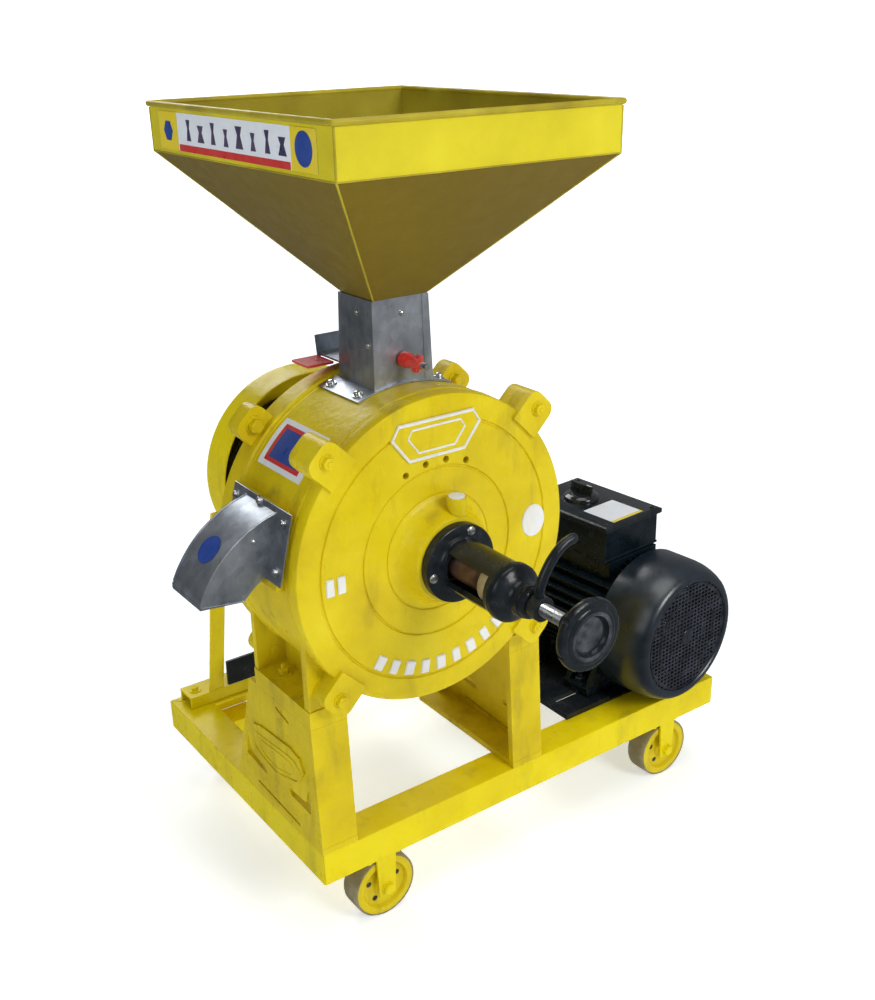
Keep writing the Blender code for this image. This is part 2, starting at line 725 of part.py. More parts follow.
# ---------------------------------------------------------------- discharge spout
top_curve = [(-201, 647), (-222, 641), (-245, 630), (-268, 614), (-287, 595), (-302, 574), (-310, 559)]
mouth = [(-312.5, 559), (-312.5, 549), (-253, 543)]
body = prism(top_curve + mouth + [(-240, 557), (-221.5, 569)], "y", 38, 117)
inside_top = [(-150, 646), (-199.5, 645), (-221, 639), (-243.5, 628), (-266.5, 612)]
inside_top += [(-285, 593.5), (-300, 573), (-310.5, 548), (-312, 535)]
inside_low = [(-252, 530), (-254.5, 545), (-239, 559), (-220, 571.5), (-150, 580)]
inside = prism(inside_top + inside_low, "y", 40, 115)
flange = prism([(-198.4, 654), (-220.65, 565), (-222.7, 565), (-200.4, 654)], "y", 4, 150)
body = cut(join(body, flange), inside)
make("discharge_spout", body, "galvanised_sheet")

# ---------------------------------------------------------------- motor
base = box(287, 570.5, 49.5, 300, FRAME_TOP + GAP, FRAME_TOP + 9.7)
slots = []
for y0 in (96, 250):
    for x0 in (300, 500):
        slots.append(box(x0, x0 + 52, y0 - 5.5, y0 + 5.5, 150, 170))
slots.append(box(MOTOR_X - 62, MOTOR_X + 62, 40, 84, 150, 170))
make("motor_base", cut(base, *slots), "black_enamel")

FINS = 16
outline = []
for k in range(FINS):
    a = 2 * math.pi * k / FINS
    for delta, radius in ((-0.12, 90), (-0.04, 100), (0.04, 100), (0.12, 90)):
        outline.append((radius * math.cos(a + delta), SPINDLE_Z + radius * math.sin(a + delta)))
body = prism(outline, "y", -270, -70)
shield_front = lathe([(0, -290), (97, -290), (99, -268), (0, -268)], 40, phase=0.031)
shield_rear = lathe([(0, -76), (99, -76), (97, -62), (58, MOTOR_REAR), (0, MOTOR_REAR)], 40, phase=0.031)
body = join(body, shield_front, shield_rear)
drop = MOTOR_Z - FRAME_TOP - 10.0
feet = []
for sign in (-1, 1):
    for y0, y1 in ((-262, -206), (-130, -72)):
        low = SPINDLE_Z - drop
        x0, x1 = sorted((sign * 62, sign * 116))
        feet.append(box(x0, x1, y0, y1, low, low + 14))
        x0, x1 = sorted((sign * 67, sign * 91))
        feet.append(box(x0, x1, y0 + 1, y0 + 12, low + 5, low + 70))
        feet.append(box(x0, x1, y1 - 12, y1 - 1, low + 5, low + 70))
seat = box(-56, 56, -246, -88, SPINDLE_Z + 80, SPINDLE_Z + 104)
body = join(body, *feet, seat)
bore = lathe([(20, -300), (20, 0), (0, 0), (0, -300)], 20)
make("motor_body", on_motor(cut(body, bore)), "motor_black")

rotor = lathe([(0, -325), (12, -325), (12, -300), (17, -296), (17, -40), (14, -38), (14, 16), (0, 16)], 20)
make("motor_shaft", on_motor(rotor), "bright_steel", MOTOR_PIVOT)

blades = lathe([(12.3, -322), (26, -322), (26, -302), (12.3, -302)], 20)
for k in range(6):
    blade = box(22, 84, -322, -302, SPINDLE_Z - 1.5, SPINDLE_Z + 1.5)
    blades = join(blades, turned(blade, math.radians(60 * k)))
make("motor_fan", on_motor(blades), "black_plastic", MOTOR_PIVOT)

cowl = lathe(
    [
        (92, MOTOR_FRONT + 4), (94, MOTOR_FRONT), (100, MOTOR_FRONT), (106, MOTOR_FRONT + 4),
        (116, MOTOR_FRONT + 30), (COWL_R, MOTOR_FRONT + 44), (COWL_R, COWL_REAR), (COWL_R - 3, COWL_REAR),
        (COWL_R - 3, MOTOR_FRONT + 46), (103, MOTOR_FRONT + 8), (92, MOTOR_FRONT + 7),
    ],
    40,
)
spokes = []
for k in range(5):
    offset = -64 + 32 * k
    reach = math.sqrt(95.0 ** 2 - offset ** 2)
    low, high = SPINDLE_Z + offset - 2, SPINDLE_Z + offset + 2
    spokes.append(box(-reach, reach, MOTOR_FRONT + 3, MOTOR_FRONT + 5, low, high))
    low, high = SPINDLE_Z - reach, SPINDLE_Z + reach
    spokes.append(box(offset - 2, offset + 2, MOTOR_FRONT + 2.5, MOTOR_FRONT + 5.5, low, high))
make("fan_cowl", on_motor(join(cowl, *spokes)), "motor_black")

LID = SPINDLE_Z + 168.0
case = join(
    box(-63, 63, -242, -64, SPINDLE_Z + 104.3, LID - 6),
    box(-67, 67, -248, -58, LID - 10, LID),
)
make("terminal_box", on_motor(case), "motor_black")
disc = [(30 * math.cos(k * math.pi / 12), -130 + 30 * math.sin(k * math.pi / 12)) for k in range(24)]
knob = join(
    prism(disc, "z", LID + GAP, LID + 9),
    prism([(-5, -156), (5, -156), (6, -104), (-6, -104)], "z", LID + 5, LID + 26),
)
knob_x = MOTOR_X + 130 * math.sin(MOTOR_YAW)
knob_y = MOTOR_PIVOT[1] - 130 * math.cos(MOTOR_YAW)
make("switch_knob", on_motor(knob), "black_plastic", (knob_x, knob_y, MOTOR_Z + 168))

pulley = lathe(groove_profile(MOTOR_PULLEY_R, 49, 14.3, -PULLEY_W / 2, PULLEY_W, 12), 24)
make("motor_pulley", on_motor(pulley), "cast_iron", MOTOR_PIVOT)
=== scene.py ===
"""Looks of the stone flour mill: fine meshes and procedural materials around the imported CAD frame.

Sizes are in millimetres in the mill's own axes: X to the right from the spindle, Y to the back
from the front of the frame, Z up from the floor. at() turns them into world metres.
"""

import math
import random

import bmesh
import bpy
from mathutils import Matrix, Vector


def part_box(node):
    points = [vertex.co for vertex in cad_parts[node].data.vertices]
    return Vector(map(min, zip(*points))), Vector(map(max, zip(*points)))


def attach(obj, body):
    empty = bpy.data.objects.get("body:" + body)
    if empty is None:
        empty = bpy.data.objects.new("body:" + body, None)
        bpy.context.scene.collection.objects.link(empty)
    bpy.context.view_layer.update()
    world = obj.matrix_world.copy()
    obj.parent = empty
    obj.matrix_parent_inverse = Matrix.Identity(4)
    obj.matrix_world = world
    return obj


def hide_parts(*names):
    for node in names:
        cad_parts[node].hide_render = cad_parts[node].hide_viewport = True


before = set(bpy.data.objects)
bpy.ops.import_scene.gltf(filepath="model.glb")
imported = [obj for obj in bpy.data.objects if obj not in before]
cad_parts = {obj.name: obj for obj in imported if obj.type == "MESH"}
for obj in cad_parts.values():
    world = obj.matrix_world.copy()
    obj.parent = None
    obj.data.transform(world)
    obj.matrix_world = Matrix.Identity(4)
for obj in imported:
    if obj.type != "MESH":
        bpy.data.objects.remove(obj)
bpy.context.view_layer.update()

# ---------------------------------------------------------------- where the CAD stands
MM = 0.001
_shaft_low, _shaft_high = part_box("spindle")
AXIS_X = (_shaft_low.x + _shaft_high.x) / 2
SPINDLE_Z = (_shaft_low.z + _shaft_high.z) / 2 / MM
FRONT_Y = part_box("frame_rail_front")[0].y

COVER_FACE = -12.4
LUG_R = 227.5
LUG_W = 48.0
LUG_END = 246.0
CORNERS = [math.radians(45 + 90 * k) for k in range(4)]
STAND_TOP = 348.0
FRAME_TOP = 156.0
NECK_TOP = 877.0
NECK_CY = 97.0
MOTOR_YAW = math.radians(4.5)
MOTOR_X, MOTOR_Y, MOTOR_Z = 442.6, 338.0, 278.0
MILL_PULLEY_R = 125.0
MOTOR_PULLEY_R = 50.0
PULLEY_FRONT = 318.0
PULLEY_W = 40.0
BELT_PITCH = 19.0
CASTOR_R = 50.0
PLATE_TOP = 374.0


def at(x, y, z):
    """A point in the mill's own millimetres, as world metres."""
    return Vector((AXIS_X + x * MM, FRONT_Y + y * MM, z * MM))


def motor_at(x, y, z):
    """A point in the motor's own axes: its shaft along Y through the origin, y = 0 at its pulley."""
    c, s = math.cos(MOTOR_YAW), math.sin(MOTOR_YAW)
    return at(MOTOR_X + x * c - y * s, MOTOR_Y + x * s + y * c, MOTOR_Z + z)


def drum_at(x, y, z):
    """A point in the spindle's own axes."""
    return at(x, y, SPINDLE_Z + z)


# ---------------------------------------------------------------- materials
def new_material(name):
    mat = bpy.data.materials.new(name)
    mat.use_nodes = True
    nodes, links = mat.node_tree.nodes, mat.node_tree.links
    shader = nodes["Principled BSDF"]
    where = nodes.new("ShaderNodeTexCoord").outputs["Object"]
    return mat, nodes, links, shader, where


def noise(nodes, links, where, scale, detail=4.0, roughness=0.55, stretch=None):
    node = nodes.new("ShaderNodeTexNoise")
    node.inputs["Scale"].default_value = scale
    node.inputs["Detail"].default_value = detail
    node.inputs["Roughness"].default_value = roughness
    if stretch:
        mapping = nodes.new("ShaderNodeMapping")
        mapping.inputs["Scale"].default_value = stretch
        links.new(where, mapping.inputs["Vector"])
        where = mapping.outputs["Vector"]
    links.new(where, node.inputs["Vector"])
    return node.outputs["Fac"]


def ramp(nodes, links, value, stops):
    node = nodes.new("ShaderNodeValToRGB")
    elements = node.color_ramp.elements
    while len(elements) < len(stops):
        elements.new(0.5)
    for element, (place, colour) in zip(elements, stops):
        element.position = place
        element.color = (*colour, 1.0)
    links.new(value, node.inputs["Fac"])
    return node.outputs["Color"]


def feed(links, source, socket):
    """Links a socket to another one, or sets it to a constant colour or number."""
    if isinstance(source, bpy.types.NodeSocket):
        links.new(source, socket)
    elif isinstance(source, tuple):
        socket.default_value = (*source, 1.0)
    else:
        socket.default_value = source


def mixed(nodes, links, share, first, second):
    node = nodes.new("ShaderNodeMix")
    node.data_type = "RGBA"
    for source, socket in ((share, "Factor"), (first, 6), (second, 7)):
        feed(links, source, node.inputs[socket])
    return node.outputs[2]


def spread(nodes, links, value, low, high, start=0.3, stop=0.7):
    """Maps the value from start..stop to low..high."""
    node = nodes.new("ShaderNodeMapRange")
    for socket, number in (("From Min", start), ("From Max", stop), ("To Min", low), ("To Max", high)):
        node.inputs[socket].default_value = number
    links.new(value, node.inputs["Value"])
    return node.outputs["Result"]


def component(nodes, links, vector, axis):
    """One component of a vector socket."""
    split = nodes.new("ShaderNodeSeparateXYZ")
    links.new(vector, split.inputs["Vector"])
    return split.outputs[axis]


def bumps(nodes, links, shader, layers):
    """Stacks bump layers of (height, strength, distance in metres)."""
    last = None
    for height, strength, distance in layers:
        node = nodes.new("ShaderNodeBump")
        node.inputs["Strength"].default_value = strength
        node.inputs["Distance"].default_value = distance
        links.new(height, node.inputs["Height"])
        if last is not None:
            links.new(last, node.inputs["Normal"])
        last = node.outputs["Normal"]
    links.new(last, shader.inputs["Normal"])


def enamel(name, base, shade, light, rough, cast=0.0, grime=(0.20, 0.13, 0.03), grime_share=0.0, peel=0.25,
           shadowed=None):
    """Brushed gloss enamel. cast is how lumpy the metal below is, from 0 on sheet to 1 on rough castings.
    shadowed is painted shade: a darker olive colour mixed in on surfaces that face down, standing in for the
    shade under them."""
    mat, nodes, links, shader, where = new_material(name)
    patch = noise(nodes, links, where, 9.0, 5.0)
    colour = ramp(nodes, links, patch, [(0.30, shade), (0.52, base), (0.75, light)])
    runs = noise(nodes, links, where, 26.0, 6.0, 0.6, (1.0, 1.0, 0.22))
    stain = ramp(nodes, links, runs, [(0.60 - 0.1 * grime_share, (0, 0, 0)), (0.78, (grime_share,) * 3)])
    colour = mixed(nodes, links, stain, colour, grime)
    # Painted shade: faces whose normal points down are mixed towards the shadowed colour.
    if shadowed:
        rise = component(nodes, links, nodes.new("ShaderNodeNewGeometry").outputs["Normal"], "Z")
        colour = mixed(nodes, links, spread(nodes, links, rise, 0.0, 1.0, -0.25, -0.6), colour, shadowed)
    links.new(colour, shader.inputs["Base Color"])
    shader.inputs["Specular IOR Level"].default_value = 0.2
    gloss = noise(nodes, links, where, 38.0, 5.0)
    links.new(spread(nodes, links, gloss, rough[0], rough[1]), shader.inputs["Roughness"])
    skin = noise(nodes, links, where, 420.0, 2.0)
    lumps = noise(nodes, links, where, 75.0, 4.0)
    brush = noise(nodes, links, where, 150.0, 3.0, 0.5, (1.0, 1.0, 0.3))
    bumps(nodes, links, shader, [
        (lumps, 0.10 + 0.55 * cast, 0.0018), (brush, 0.12 + 0.12 * cast, 0.0008), (skin, peel, 0.0004),
    ])
    return mat


def galvanised(name, dark, light, rough):
    """Zinc coated sheet with faint spangle and smears."""
    mat, nodes, links, shader, where = new_material(name)
    cells = nodes.new("ShaderNodeTexVoronoi")
    cells.inputs["Scale"].default_value = 95.0
    links.new(where, cells.inputs["Vector"])
    tone = nodes.new("ShaderNodeSeparateColor")
    links.new(cells.outputs["Color"], tone.inputs["Color"])
    smear = noise(nodes, links, where, 16.0, 6.0, 0.6, (1.0, 1.0, 0.5))
    spangle = ramp(nodes, links, tone.outputs[0], [(0.0, dark), (1.0, light)])
    cloud = ramp(nodes, links, smear, [(0.35, dark), (0.65, light)])
    links.new(mixed(nodes, links, 0.7, spangle, cloud), shader.inputs["Base Color"])
    shader.inputs["Metallic"].default_value = 0.85
    links.new(spread(nodes, links, smear, rough[0], rough[1]), shader.inputs["Roughness"])
    dents = noise(nodes, links, where, 22.0, 2.0)
    scratch = noise(nodes, links, where, 260.0, 3.0, 0.6, (1.0, 1.0, 0.12))
    bumps(nodes, links, shader, [(dents, 0.35, 0.003), (scratch, 0.12, 0.0004)])
    return mat


def metal(name, dark, light, rough, metallic=1.0, relief=0.12):
    """Bare metal with an uneven film of oil."""
    mat, nodes, links, shader, where = new_material(name)
    film = noise(nodes, links, where, 30.0, 6.0, 0.6)
    links.new(ramp(nodes, links, film, [(0.35, dark), (0.65, light)]), shader.inputs["Base Color"])
    shader.inputs["Metallic"].default_value = metallic
    links.new(spread(nodes, links, film, rough[0], rough[1]), shader.inputs["Roughness"])
    fine = noise(nodes, links, where, 180.0, 3.0, 0.6, (1.0, 1.0, 1.0))
    bumps(nodes, links, shader, [(fine, relief, 0.0006)])
    return mat


def dusty(name, base, dust, rough, share=0.25, relief=0.15, coat=0.0, shine=0.3):
    """Dark paint, rubber or plastic with a thin uneven film of dust."""
    mat, nodes, links, shader, where = new_material(name)
    film = noise(nodes, links, where, 34.0, 7.0, 0.65)
    top = [b + (d - b) * share for b, d in zip(base, dust)]
    links.new(ramp(nodes, links, film, [(0.42, base), (0.72, top)]), shader.inputs["Base Color"])
    links.new(spread(nodes, links, film, rough[0], rough[1]), shader.inputs["Roughness"])
    shader.inputs["Coat Weight"].default_value = coat
    shader.inputs["Specular IOR Level"].default_value = shine
    grain = noise(nodes, links, where, 480.0, 3.0)
    soft = noise(nodes, links, where, 60.0, 3.0)
    bumps(nodes, links, shader, [(soft, relief, 0.0012), (grain, relief, 0.0003)])
    return mat


def stone(name):
    """Grinding stone: light grit in a darker bond."""
    mat, nodes, links, shader, where = new_material(name)
    grit = noise(nodes, links, where, 700.0, 2.0)
    stops = [(0.35, (0.20, 0.18, 0.16)), (0.55, (0.50, 0.47, 0.42)), (0.75, (0.72, 0.70, 0.66))]
    links.new(ramp(nodes, links, grit, stops), shader.inputs["Base Color"])
    shader.inputs["Roughness"].default_value = 0.95
    bumps(nodes, links, shader, [(grit, 0.8, 0.001)])
    return mat


CAST = enamel("cast_yellow", (0.74, 0.575, 0.006), (0.60, 0.445, 0.006), (0.80, 0.65, 0.02), (0.22, 0.42),
              1.0, grime_share=0.55)
RAIL = enamel("rail_yellow", (0.86, 0.70, 0.004), (0.76, 0.60, 0.004), (0.90, 0.75, 0.01), (0.22, 0.38), 0.35,
              grime_share=0.35)
# The hopper paint carries painted shade: its faces that point down turn to the darker shadowed olive.
HOPPER_PAINT = enamel("hopper_yellow", (0.68, 0.575, 0.018), (0.60, 0.50, 0.016), (0.76, 0.65, 0.03),
                      (0.34, 0.5), 0.12, grime_share=0.15, peel=0.9, shadowed=(0.175, 0.120, 0.010))
# Painted shade: a darker copy of the hopper paint for the inner faces, standing in for the shade inside the
# hopper.
HOPPER_INSIDE_SHADE = enamel("hopper_inside_painted_shade", (0.34, 0.28, 0.018), (0.28, 0.22, 0.016), (0.42, 0.35, 0.03),
                       (0.34, 0.5), 0.12, grime_share=0.3, peel=0.9)
HOPPER_RIM = enamel("hopper_rim_yellow", (0.42, 0.34, 0.02), (0.30, 0.23, 0.02), (0.62, 0.54, 0.05),
                    (0.3, 0.5), 0.3, grime_share=0.5)
WHITE_PAINT = enamel("white_paint", (0.80, 0.80, 0.78), (0.70, 0.69, 0.62), (0.86, 0.86, 0.86), (0.3, 0.5),
                     0.8, grime=(0.5, 0.42, 0.08), grime_share=0.5)
ZINC = galvanised("zinc_sheet", (0.22, 0.245, 0.28), (0.52, 0.56, 0.62), (0.28, 0.46))
BLACK = dusty("black_enamel_paint", (0.010, 0.013, 0.016), (0.20, 0.23, 0.26), (0.12, 0.32), 0.07, 0.3, 0.0)
MOTOR = dusty("motor_paint", (0.004, 0.009, 0.014), (0.07, 0.13, 0.18), (0.20, 0.34), 0.08, 0.12, 0.0)
COWL = dusty("fan_cowl_paint", (0.004, 0.010, 0.018), (0.05, 0.12, 0.20), (0.26, 0.38), 0.10, 0.08, 0.0, 0.9)
GRILLE = dusty("grille_paint", (0.012, 0.015, 0.022), (0.16, 0.16, 0.24), (0.3, 0.5), 0.25, 0.2, 0.2)
WHEEL_DUST = dusty("dusty_black", (0.016, 0.020, 0.026), (0.30, 0.32, 0.36), (0.4, 0.65), 0.35, 0.5)
PLASTIC = dusty("black_plastic_gloss", (0.012, 0.014, 0.016), (0.25, 0.27, 0.30), (0.08, 0.25), 0.15, 0.05,
                0.5)
RUBBER = dusty("belt_rubber_black", (0.018, 0.018, 0.018), (0.25, 0.24, 0.22), (0.7, 0.9), 0.3, 0.3)
TREAD = dusty("castor_tread", (0.23, 0.19, 0.10), (0.50, 0.45, 0.30), (0.45, 0.8), 0.6, 0.7)
STEEL = metal("bright_zinc_steel", (0.62, 0.63, 0.65), (0.86, 0.87, 0.88), (0.18, 0.38))
SHAFT = metal("greasy_shaft", (0.05, 0.028, 0.018), (0.19, 0.11, 0.075), (0.3, 0.55), 0.7)
BEARING = metal("bearing_face", (0.30, 0.24, 0.21), (0.62, 0.56, 0.53), (0.35, 0.6), 0.6)
IRON = metal("pulley_iron", (0.05, 0.05, 0.05), (0.14, 0.13, 0.12), (0.45, 0.7), 0.6, relief=0.4)
FAN = dusty("fan_plastic", (0.02, 0.02, 0.022), (0.3, 0.3, 0.3), (0.4, 0.6), 0.2)
RED = dusty("red_plastic_gloss", (0.72, 0.035, 0.02), (0.85, 0.30, 0.26), (0.18, 0.4), 0.35, 0.2, 0.2)
LABEL = dusty("label_white", (0.80, 0.83, 0.88), (0.66, 0.69, 0.74), (0.25, 0.4), 0.4, 0.03)
LABEL_BLUE = dusty("label_blue", (0.02, 0.06, 0.30), (0.10, 0.16, 0.40), (0.25, 0.4), 0.3, 0.03)
LABEL_RED = dusty("label_red", (0.60, 0.03, 0.03), (0.66, 0.16, 0.12), (0.25, 0.4), 0.3, 0.03)
LABEL_YELLOW = dusty("label_yellow", (0.80, 0.62, 0.02), (0.76, 0.62, 0.16), (0.25, 0.4), 0.3, 0.03)
LABEL_DARK = dusty("label_dark", (0.05, 0.04, 0.10), (0.22, 0.16, 0.20), (0.25, 0.4), 0.4, 0.03)
EMERY = stone("emery")


# ---------------------------------------------------------------- mesh helpers
def ring(count, radius, phase=0.0):
    """Points evenly round a circle, as pairs."""
    turns = [phase + 2 * math.pi * k / count for k in range(count)]
    return [(radius * math.cos(a), radius * math.sin(a)) for a in turns]


def polar(radius, degrees):
    """The point at this radius and angle, as a pair."""
    a = math.radians(degrees)
    return radius * math.cos(a), radius * math.sin(a)


def span(sign, near, far):
    """The two ends of a stretch on one side of the middle, lower one first."""
    return sorted((sign * near, sign * far))


def mirrored(half, middle=0.0):
    """An outline of (radius, height above the middle), closed by its own mirror image."""
    return [(r, middle - y) for r, y in half] + [(r, middle + y) for r, y in reversed(half)]


def smooth_path(points, steps):
    """A smooth curve through the points (Catmull-Rom), with steps pieces between each two."""
    vectors = [Vector(p) for p in points]
    vectors = [2 * vectors[0] - vectors[1]] + vectors + [2 * vectors[-1] - vectors[-2]]
    out = []
    for i in range(1, len(vectors) - 2):
        a, b, c, d = vectors[i - 1:i + 3]
        for k in range(steps):
            t = k / steps
            out.append(0.5 * (2 * b + (c - a) * t + (2 * a - 5 * b + 4 * c - d) * t * t
                              + (3 * b - a - 3 * c + d) * t ** 3))
    out.append(vectors[-2])
    return out


def smooth_flat(points, steps):
    """smooth_path for pairs."""
    return [(p.x, p.y) for p in smooth_path([(x, z, 0) for x, z in points], steps)]


def add_skin(bm, loops, closed=False, caps=True):
    """Joins loops of points, all of one length, by strips of faces."""
    rows = [[bm.verts.new(p) for p in loop] for loop in loops]
    count = len(rows[0])
    pairs = list(zip(rows, rows[1:])) + ([(rows[-1], rows[0])] if closed else [])
    for low, high in pairs:
        for i in range(count):
            j = (i + 1) % count
            bm.faces.new((low[i], high[i], high[j], low[j]))
    if not closed and caps:
        bm.faces.new(rows[0])
        bm.faces.new(list(reversed(rows[-1])))


def add_prism(bm, outline, axis, low, high):
    """A flat outline of pairs, drawn out along an axis."""
    order = {
        "x": lambda p, t: (t, p[0], p[1]),
        "y": lambda p, t: (p[0], t, p[1]),
        "z": lambda p, t: (p[0], p[1], t),
    }
    place = order[axis]
    add_skin(bm, [[place(p, low) for p in outline], [place(p, high) for p in outline]])


def add_box(bm, x0, x1, y0, y1, z0, z1):
    add_prism(bm, [(x0, y0), (x1, y0), (x1, y1), (x0, y1)], "z", z0, z1)


def add_lathe(bm, profile, count, cx=0.0, cz=0.0, axis="y", cy=0.0):
    """Turns a closed outline of (radius, height) about an axis through (cx, cz), or (cx, cy) for z."""
    rows = []
    for radius, y in profile:
        spots = [(0.0, 0.0)] if radius < 1e-6 else ring(count, radius)
        if axis == "y":
            rows.append([bm.verts.new((cx + a, y, cz + b)) for a, b in spots])
        elif axis == "z":
            rows.append([bm.verts.new((cx + a, cy + b, y)) for a, b in spots])
        else:
            rows.append([bm.verts.new((y, cy + a, cz + b)) for a, b in spots])
    for low, high in zip(rows, rows[1:] + rows[:1]):
        for i in range(count):
            j = (i + 1) % count
            if len(low) == 1 and len(high) == 1:
                break
            if len(low) == 1:
                bm.faces.new((low[0], high[i], high[j]))
            elif len(high) == 1:
                bm.faces.new((low[i], high[0], low[j]))
            else:
                bm.faces.new((low[i], high[i], high[j], low[j]))


def add_tube(bm, path, radius, sides=12, closed=False):
    """A round bar along a path. radius may be a number or a function of the share of the way along."""
    points = [Vector(p) for p in path]
    count = len(points)
    size = radius if callable(radius) else (lambda share: radius)
    loops, side = [], None
    for i, point in enumerate(points):
        if closed:
            tangent = points[(i + 1) % count] - points[i - 1]
        else:
            tangent = points[min(i + 1, count - 1)] - points[max(i - 1, 0)]
        tangent.normalize()
        if side is None:
            side = tangent.orthogonal().normalized()
        side = (side - tangent * side.dot(tangent)).normalized()
        other = tangent.cross(side)
        r = size(i / max(count - 1, 1))
        loops.append([point + side * (a * r) + other * (b * r) for a, b in ring(sides, 1.0)])
    add_skin(bm, loops, closed)


def add_bolt(bm, spot, normal, across=13.0, height=6.0, washer=None, round_head=False, slot_cut=False,
             stem=0.0):
    """A bolt head or nut on a face, with a washer below it and a stub of thread above it."""
    out = Vector(normal).normalized()
    side = out.orthogonal().normalized()
    other = out.cross(side)
    spot = Vector(spot)

    def disc(radius, level, count=24, phase=0.0):
        return [spot + out * level + side * a + other * b for a, b in ring(count, radius, phase)]

    base = 0.0
    if washer:
        thick = 1.6
        add_skin(bm, [disc(washer / 2, -0.4), disc(washer / 2, thick - 0.3), disc(washer / 2 - 0.4, thick)])
        base = thick
    radius = across / 2
    if round_head:
        rows = [disc(radius, base - 0.4)] + [
            disc(radius * math.cos(t), base + 0.35 * height + 0.65 * height * math.sin(t))
            for t in (0.0, 0.4, 0.8, 1.15)
        ]
        add_skin(bm, rows)
    else:
        corner = radius / math.cos(math.pi / 6)
        add_skin(bm, [disc(corner, base - 0.3, 6), disc(corner, base + height * 0.86, 6),
                      disc(radius * 0.88, base + height, 6)])
    if stem:
        r = radius * 0.52
        add_skin(bm, [disc(r, base), disc(r, base + height + stem - 1), disc(r * 0.8, base + height + stem)])
    if slot_cut:
        level = base + height * 0.99
        half, depth = radius * 0.78, 0.5
        corners = [spot + out * level + side * a + other * b for a, b in
                   ((-half, -depth), (half, -depth), (half, depth), (-half, depth))]
        add_skin(bm, [corners, [c + out * 0.25 for c in corners]])


def add_wobbly_bead(bm, path, radius, seed):
    """A weld bead: a lumpy half-round line of overlapping ripples."""
    rng = random.Random(seed)
    points = []
    for a, b in zip(path, path[1:]):
        a, b = Vector(a), Vector(b)
        steps = max(2, int((b - a).length / 2.2))
        points += [a.lerp(b, k / steps) for k in range(steps)]
    points.append(Vector(path[-1]))
    sizes = [radius * (0.82 + 0.3 * rng.random() + (0.12 if k % 2 else -0.06)) for k in range(len(points))]
    last = len(points) - 1
    sizes[0] = sizes[last] = radius * 0.45
    add_tube(bm, points, lambda share: sizes[round(share * last)], 8)


def to_object(name, bm):
    mesh = bpy.data.meshes.new(name)
    bm.to_mesh(mesh)
    bm.free()
    obj = bpy.data.objects.new(name, mesh)
    bpy.context.scene.collection.objects.link(obj)
    return obj


def solid(name, build, *values, placed=at):
    """An object with the mesh that build(bm, *values) makes, moved to its place."""
    bm = bmesh.new()
    build(bm, *values)
    bmesh.ops.recalc_face_normals(bm, faces=bm.faces)
    for vert in bm.verts:
        vert.co = placed(*vert.co)
    return to_object(name, bm)


def carve(obj, *tools, how="DIFFERENCE"):
    """Takes the tools away from the object, or joins them to it, one after another."""
    for tool in tools:
        modifier = obj.modifiers.new("carve", "BOOLEAN")
        modifier.operation = how
        modifier.solver = "EXACT"
        modifier.object = tool
        graph = bpy.context.evaluated_depsgraph_get()
        mesh = bpy.data.meshes.new_from_object(obj.evaluated_get(graph))
        obj.modifiers.clear()
        obj.data = mesh
        bpy.data.objects.remove(tool)
    return obj


def cutter(build, *values, placed=at):
    return solid("cutter", build, *values, placed=placed)


def dress(obj, mat, body="mill", stands_for=(), slot=None, edge=0.0, segments=2, angle=32):
    """Shades a piece, rounds its edges by so many millimetres, and hangs it on its body."""
    obj.data.materials.clear()
    obj.data.materials.append(mat)
    obj.data.shade_smooth()
    obj.data.set_sharp_from_angle(angle=math.radians(angle))
    if edge:
        modifier = obj.modifiers.new("edges", "BEVEL")
        modifier.width = edge * MM
        modifier.segments = segments
        modifier.limit_method = "ANGLE"
        modifier.angle_limit = math.radians(angle)
        modifier.harden_normals = True
    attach(obj, body)
    if stands_for:
        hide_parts(*stands_for)
    return obj


def piece(name, build, mat, placed=at, cut=(), **look):
    """A finished piece: built, placed, cut and dressed."""
    obj = solid(name, build, placed=placed)
    carve(obj, *cut)
    return dress(obj, mat, **look)


def turned(name, profile, count, mat, centre=(0.0, 0.0), axis="y", cy=0.0, **look):
    """A piece that is one turned shape."""
    return piece(name, lambda bm: add_lathe(bm, profile, count, *centre, axis, cy), mat, **look)


def boxed(name, extent, mat, **look):
    """A piece that is one plain block."""
    return piece(name, lambda bm: add_box(bm, *extent), mat, **look)


def refined(node, mat, edge, body="mill", slot=None, segments=2):
    """A clean copy of a CAD node with rounded edges, shown in its place."""
    bm = bmesh.new()
    bm.from_mesh(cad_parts[node].data)
    bmesh.ops.remove_doubles(bm, verts=bm.verts, dist=2e-5)
    bmesh.ops.dissolve_limit(bm, angle_limit=math.radians(0.6), verts=bm.verts, edges=bm.edges)
    return dress(to_object(node + "_finished", bm), mat, body, (node,), slot, edge, segments)


